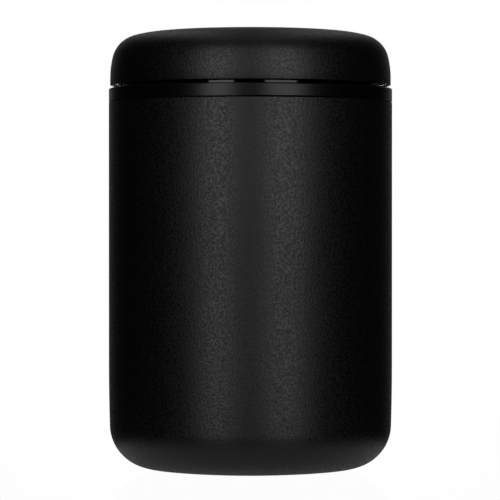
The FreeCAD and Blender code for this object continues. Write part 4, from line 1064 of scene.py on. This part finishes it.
# %% Room
ROOM_LEVEL = 0.002
GLOW_LEVEL = 0.05
EDGE_LEVEL = 0.11
OVERHEAD_LEVEL = 0.68
CARD_CONE = (8, 5)
GLOW_CONE = (55, 15)
EDGE_CONE = (32, 8)
OVERHEAD_CONE = (58, 30)
OVERHEAD_LEAN = math.radians(18)
OVERHEAD_GAP = 0.03
TABLE_LINE = (-0.02, 0.08)
ABOVE_TABLE = 3.0

world = bpy.data.worlds.new("studio")
scene.world = world
room = Nodes(world)


def cone(along, angles):
    """From 0 at the wide angle of a cone, in degrees, to 1 at its narrow angle."""
    return room.ramp(along, *(math.cos(math.radians(angle)) for angle in angles))


direction = room.add("ShaderNodeTexCoord", output="Generated")
sideways, backwards, upwards = (
    room.add("ShaderNodeSeparateXYZ", {}, {"Vector": direction}, axis) for axis in "XYZ"
)
camera_ray, glossy_ray, through_ray = (
    room.add("ShaderNodeLightPath", output=f"Is {kind} Ray")
    for kind in ("Camera", "Glossy", "Transmission")
)
behind = cone(backwards, CARD_CONE)
glow = cone(backwards, GLOW_CONE)
edge = cone(backwards, EDGE_CONE) * room.ramp(upwards, *TABLE_LINE, 1.0, ABOVE_TABLE)
above = backwards * math.sin(OVERHEAD_LEAN) + upwards * math.cos(OVERHEAD_LEAN)
wide = sideways * sideways
overhead = cone(above - wide, OVERHEAD_CONE) * room.ramp(wide, 0.0, OVERHEAD_GAP)
level = ROOM_LEVEL + glow * GLOW_LEVEL + edge * EDGE_LEVEL + overhead * OVERHEAD_LEVEL
level = level + behind * (glossy_ray + through_ray)
strength = camera_ray + (1 - camera_ray) * level
background = room.add("ShaderNodeBackground", {}, {"Color": grey(1.0), "Strength": strength})
room.add("ShaderNodeOutputWorld", {}, {"Surface": background})
print("room lit,", len(room.tree.nodes), "nodes")

# %% [markdown]
# ### The floor
# The floor is a white sheet. The camera sees it mostly as white card, with a part of the real light on it
# left in, so that the soft shadow under the canister stays. Close to the pot it also lights the round lower
# corner from below; further out its colour is painted shade, so it is dark to everything but the camera.
# From below it is clear.

# %% Floor
FLOOR_SIZE = 6.0
FLOOR_DROP = -0.0002
CARD_SHARE = 0.975
GLOSS_SHARE = 0.2
NEAR_EDGE = 0.066
FAR_EDGE = 0.10
# painted shade: beyond the pot the sheet's colour is near black, so it is dark to every ray but the
# camera's
FAR_FLOOR_SHADE = grey(0.03)
PALE_SHEET = (0.78, 0.82, 0.90, 1.0)
SHEET_ROUGHNESS = 0.08
SHEET_SHINE = 0.8

bpy.ops.object.select_all(action="DESELECT")
bpy.ops.mesh.primitive_plane_add(size=FLOOR_SIZE, location=(0, 0, FLOOR_DROP))
floor = bpy.context.object
floor.name = "floor"
paper, sheet, place = new_finish("white_sheet")
reach = sheet.add("ShaderNodeVectorMath", {"operation": "LENGTH"}, {0: place}, "Value")
near = sheet.ramp(reach, NEAR_EDGE, FAR_EDGE, 1.0, 0.0)
to_camera = sheet.add("ShaderNodeLightPath", output="Is Camera Ray")
to_gloss = sheet.add("ShaderNodeLightPath", output="Is Glossy Ray")
card_share = to_camera * CARD_SHARE + to_gloss * near * GLOSS_SHARE
# near the pot the sheet is pale; further out its colour is painted shade
lit = sheet.add("ShaderNodeBsdfPrincipled", {}, {
    "Base Color": sheet.mix(near, FAR_FLOOR_SHADE, PALE_SHEET),
    "Roughness": SHEET_ROUGHNESS,
    "Specular IOR Level": SHEET_SHINE,
})
card = sheet.add("ShaderNodeEmission", {}, {"Color": grey(1.0), "Strength": 1.0})
upper_side = sheet.add("ShaderNodeMixShader", {}, {0: card_share, 1: lit, 2: card})
from_below = sheet.add("ShaderNodeNewGeometry", output="Backfacing")
clear = sheet.add("ShaderNodeBsdfTransparent")
shown = sheet.add("ShaderNodeMixShader", {}, {0: from_below, 1: upper_side, 2: clear})
sheet.add("ShaderNodeOutputMaterial", {}, {"Surface": shown})
floor.data.materials.append(paper)
print("floor", floor.dimensions.x, "m wide")

# %% [markdown]
# ## Finishing
# The picture keeps plain colours, so the view transform is Standard.

# %% Finish
scene.view_settings.view_transform = "Standard"
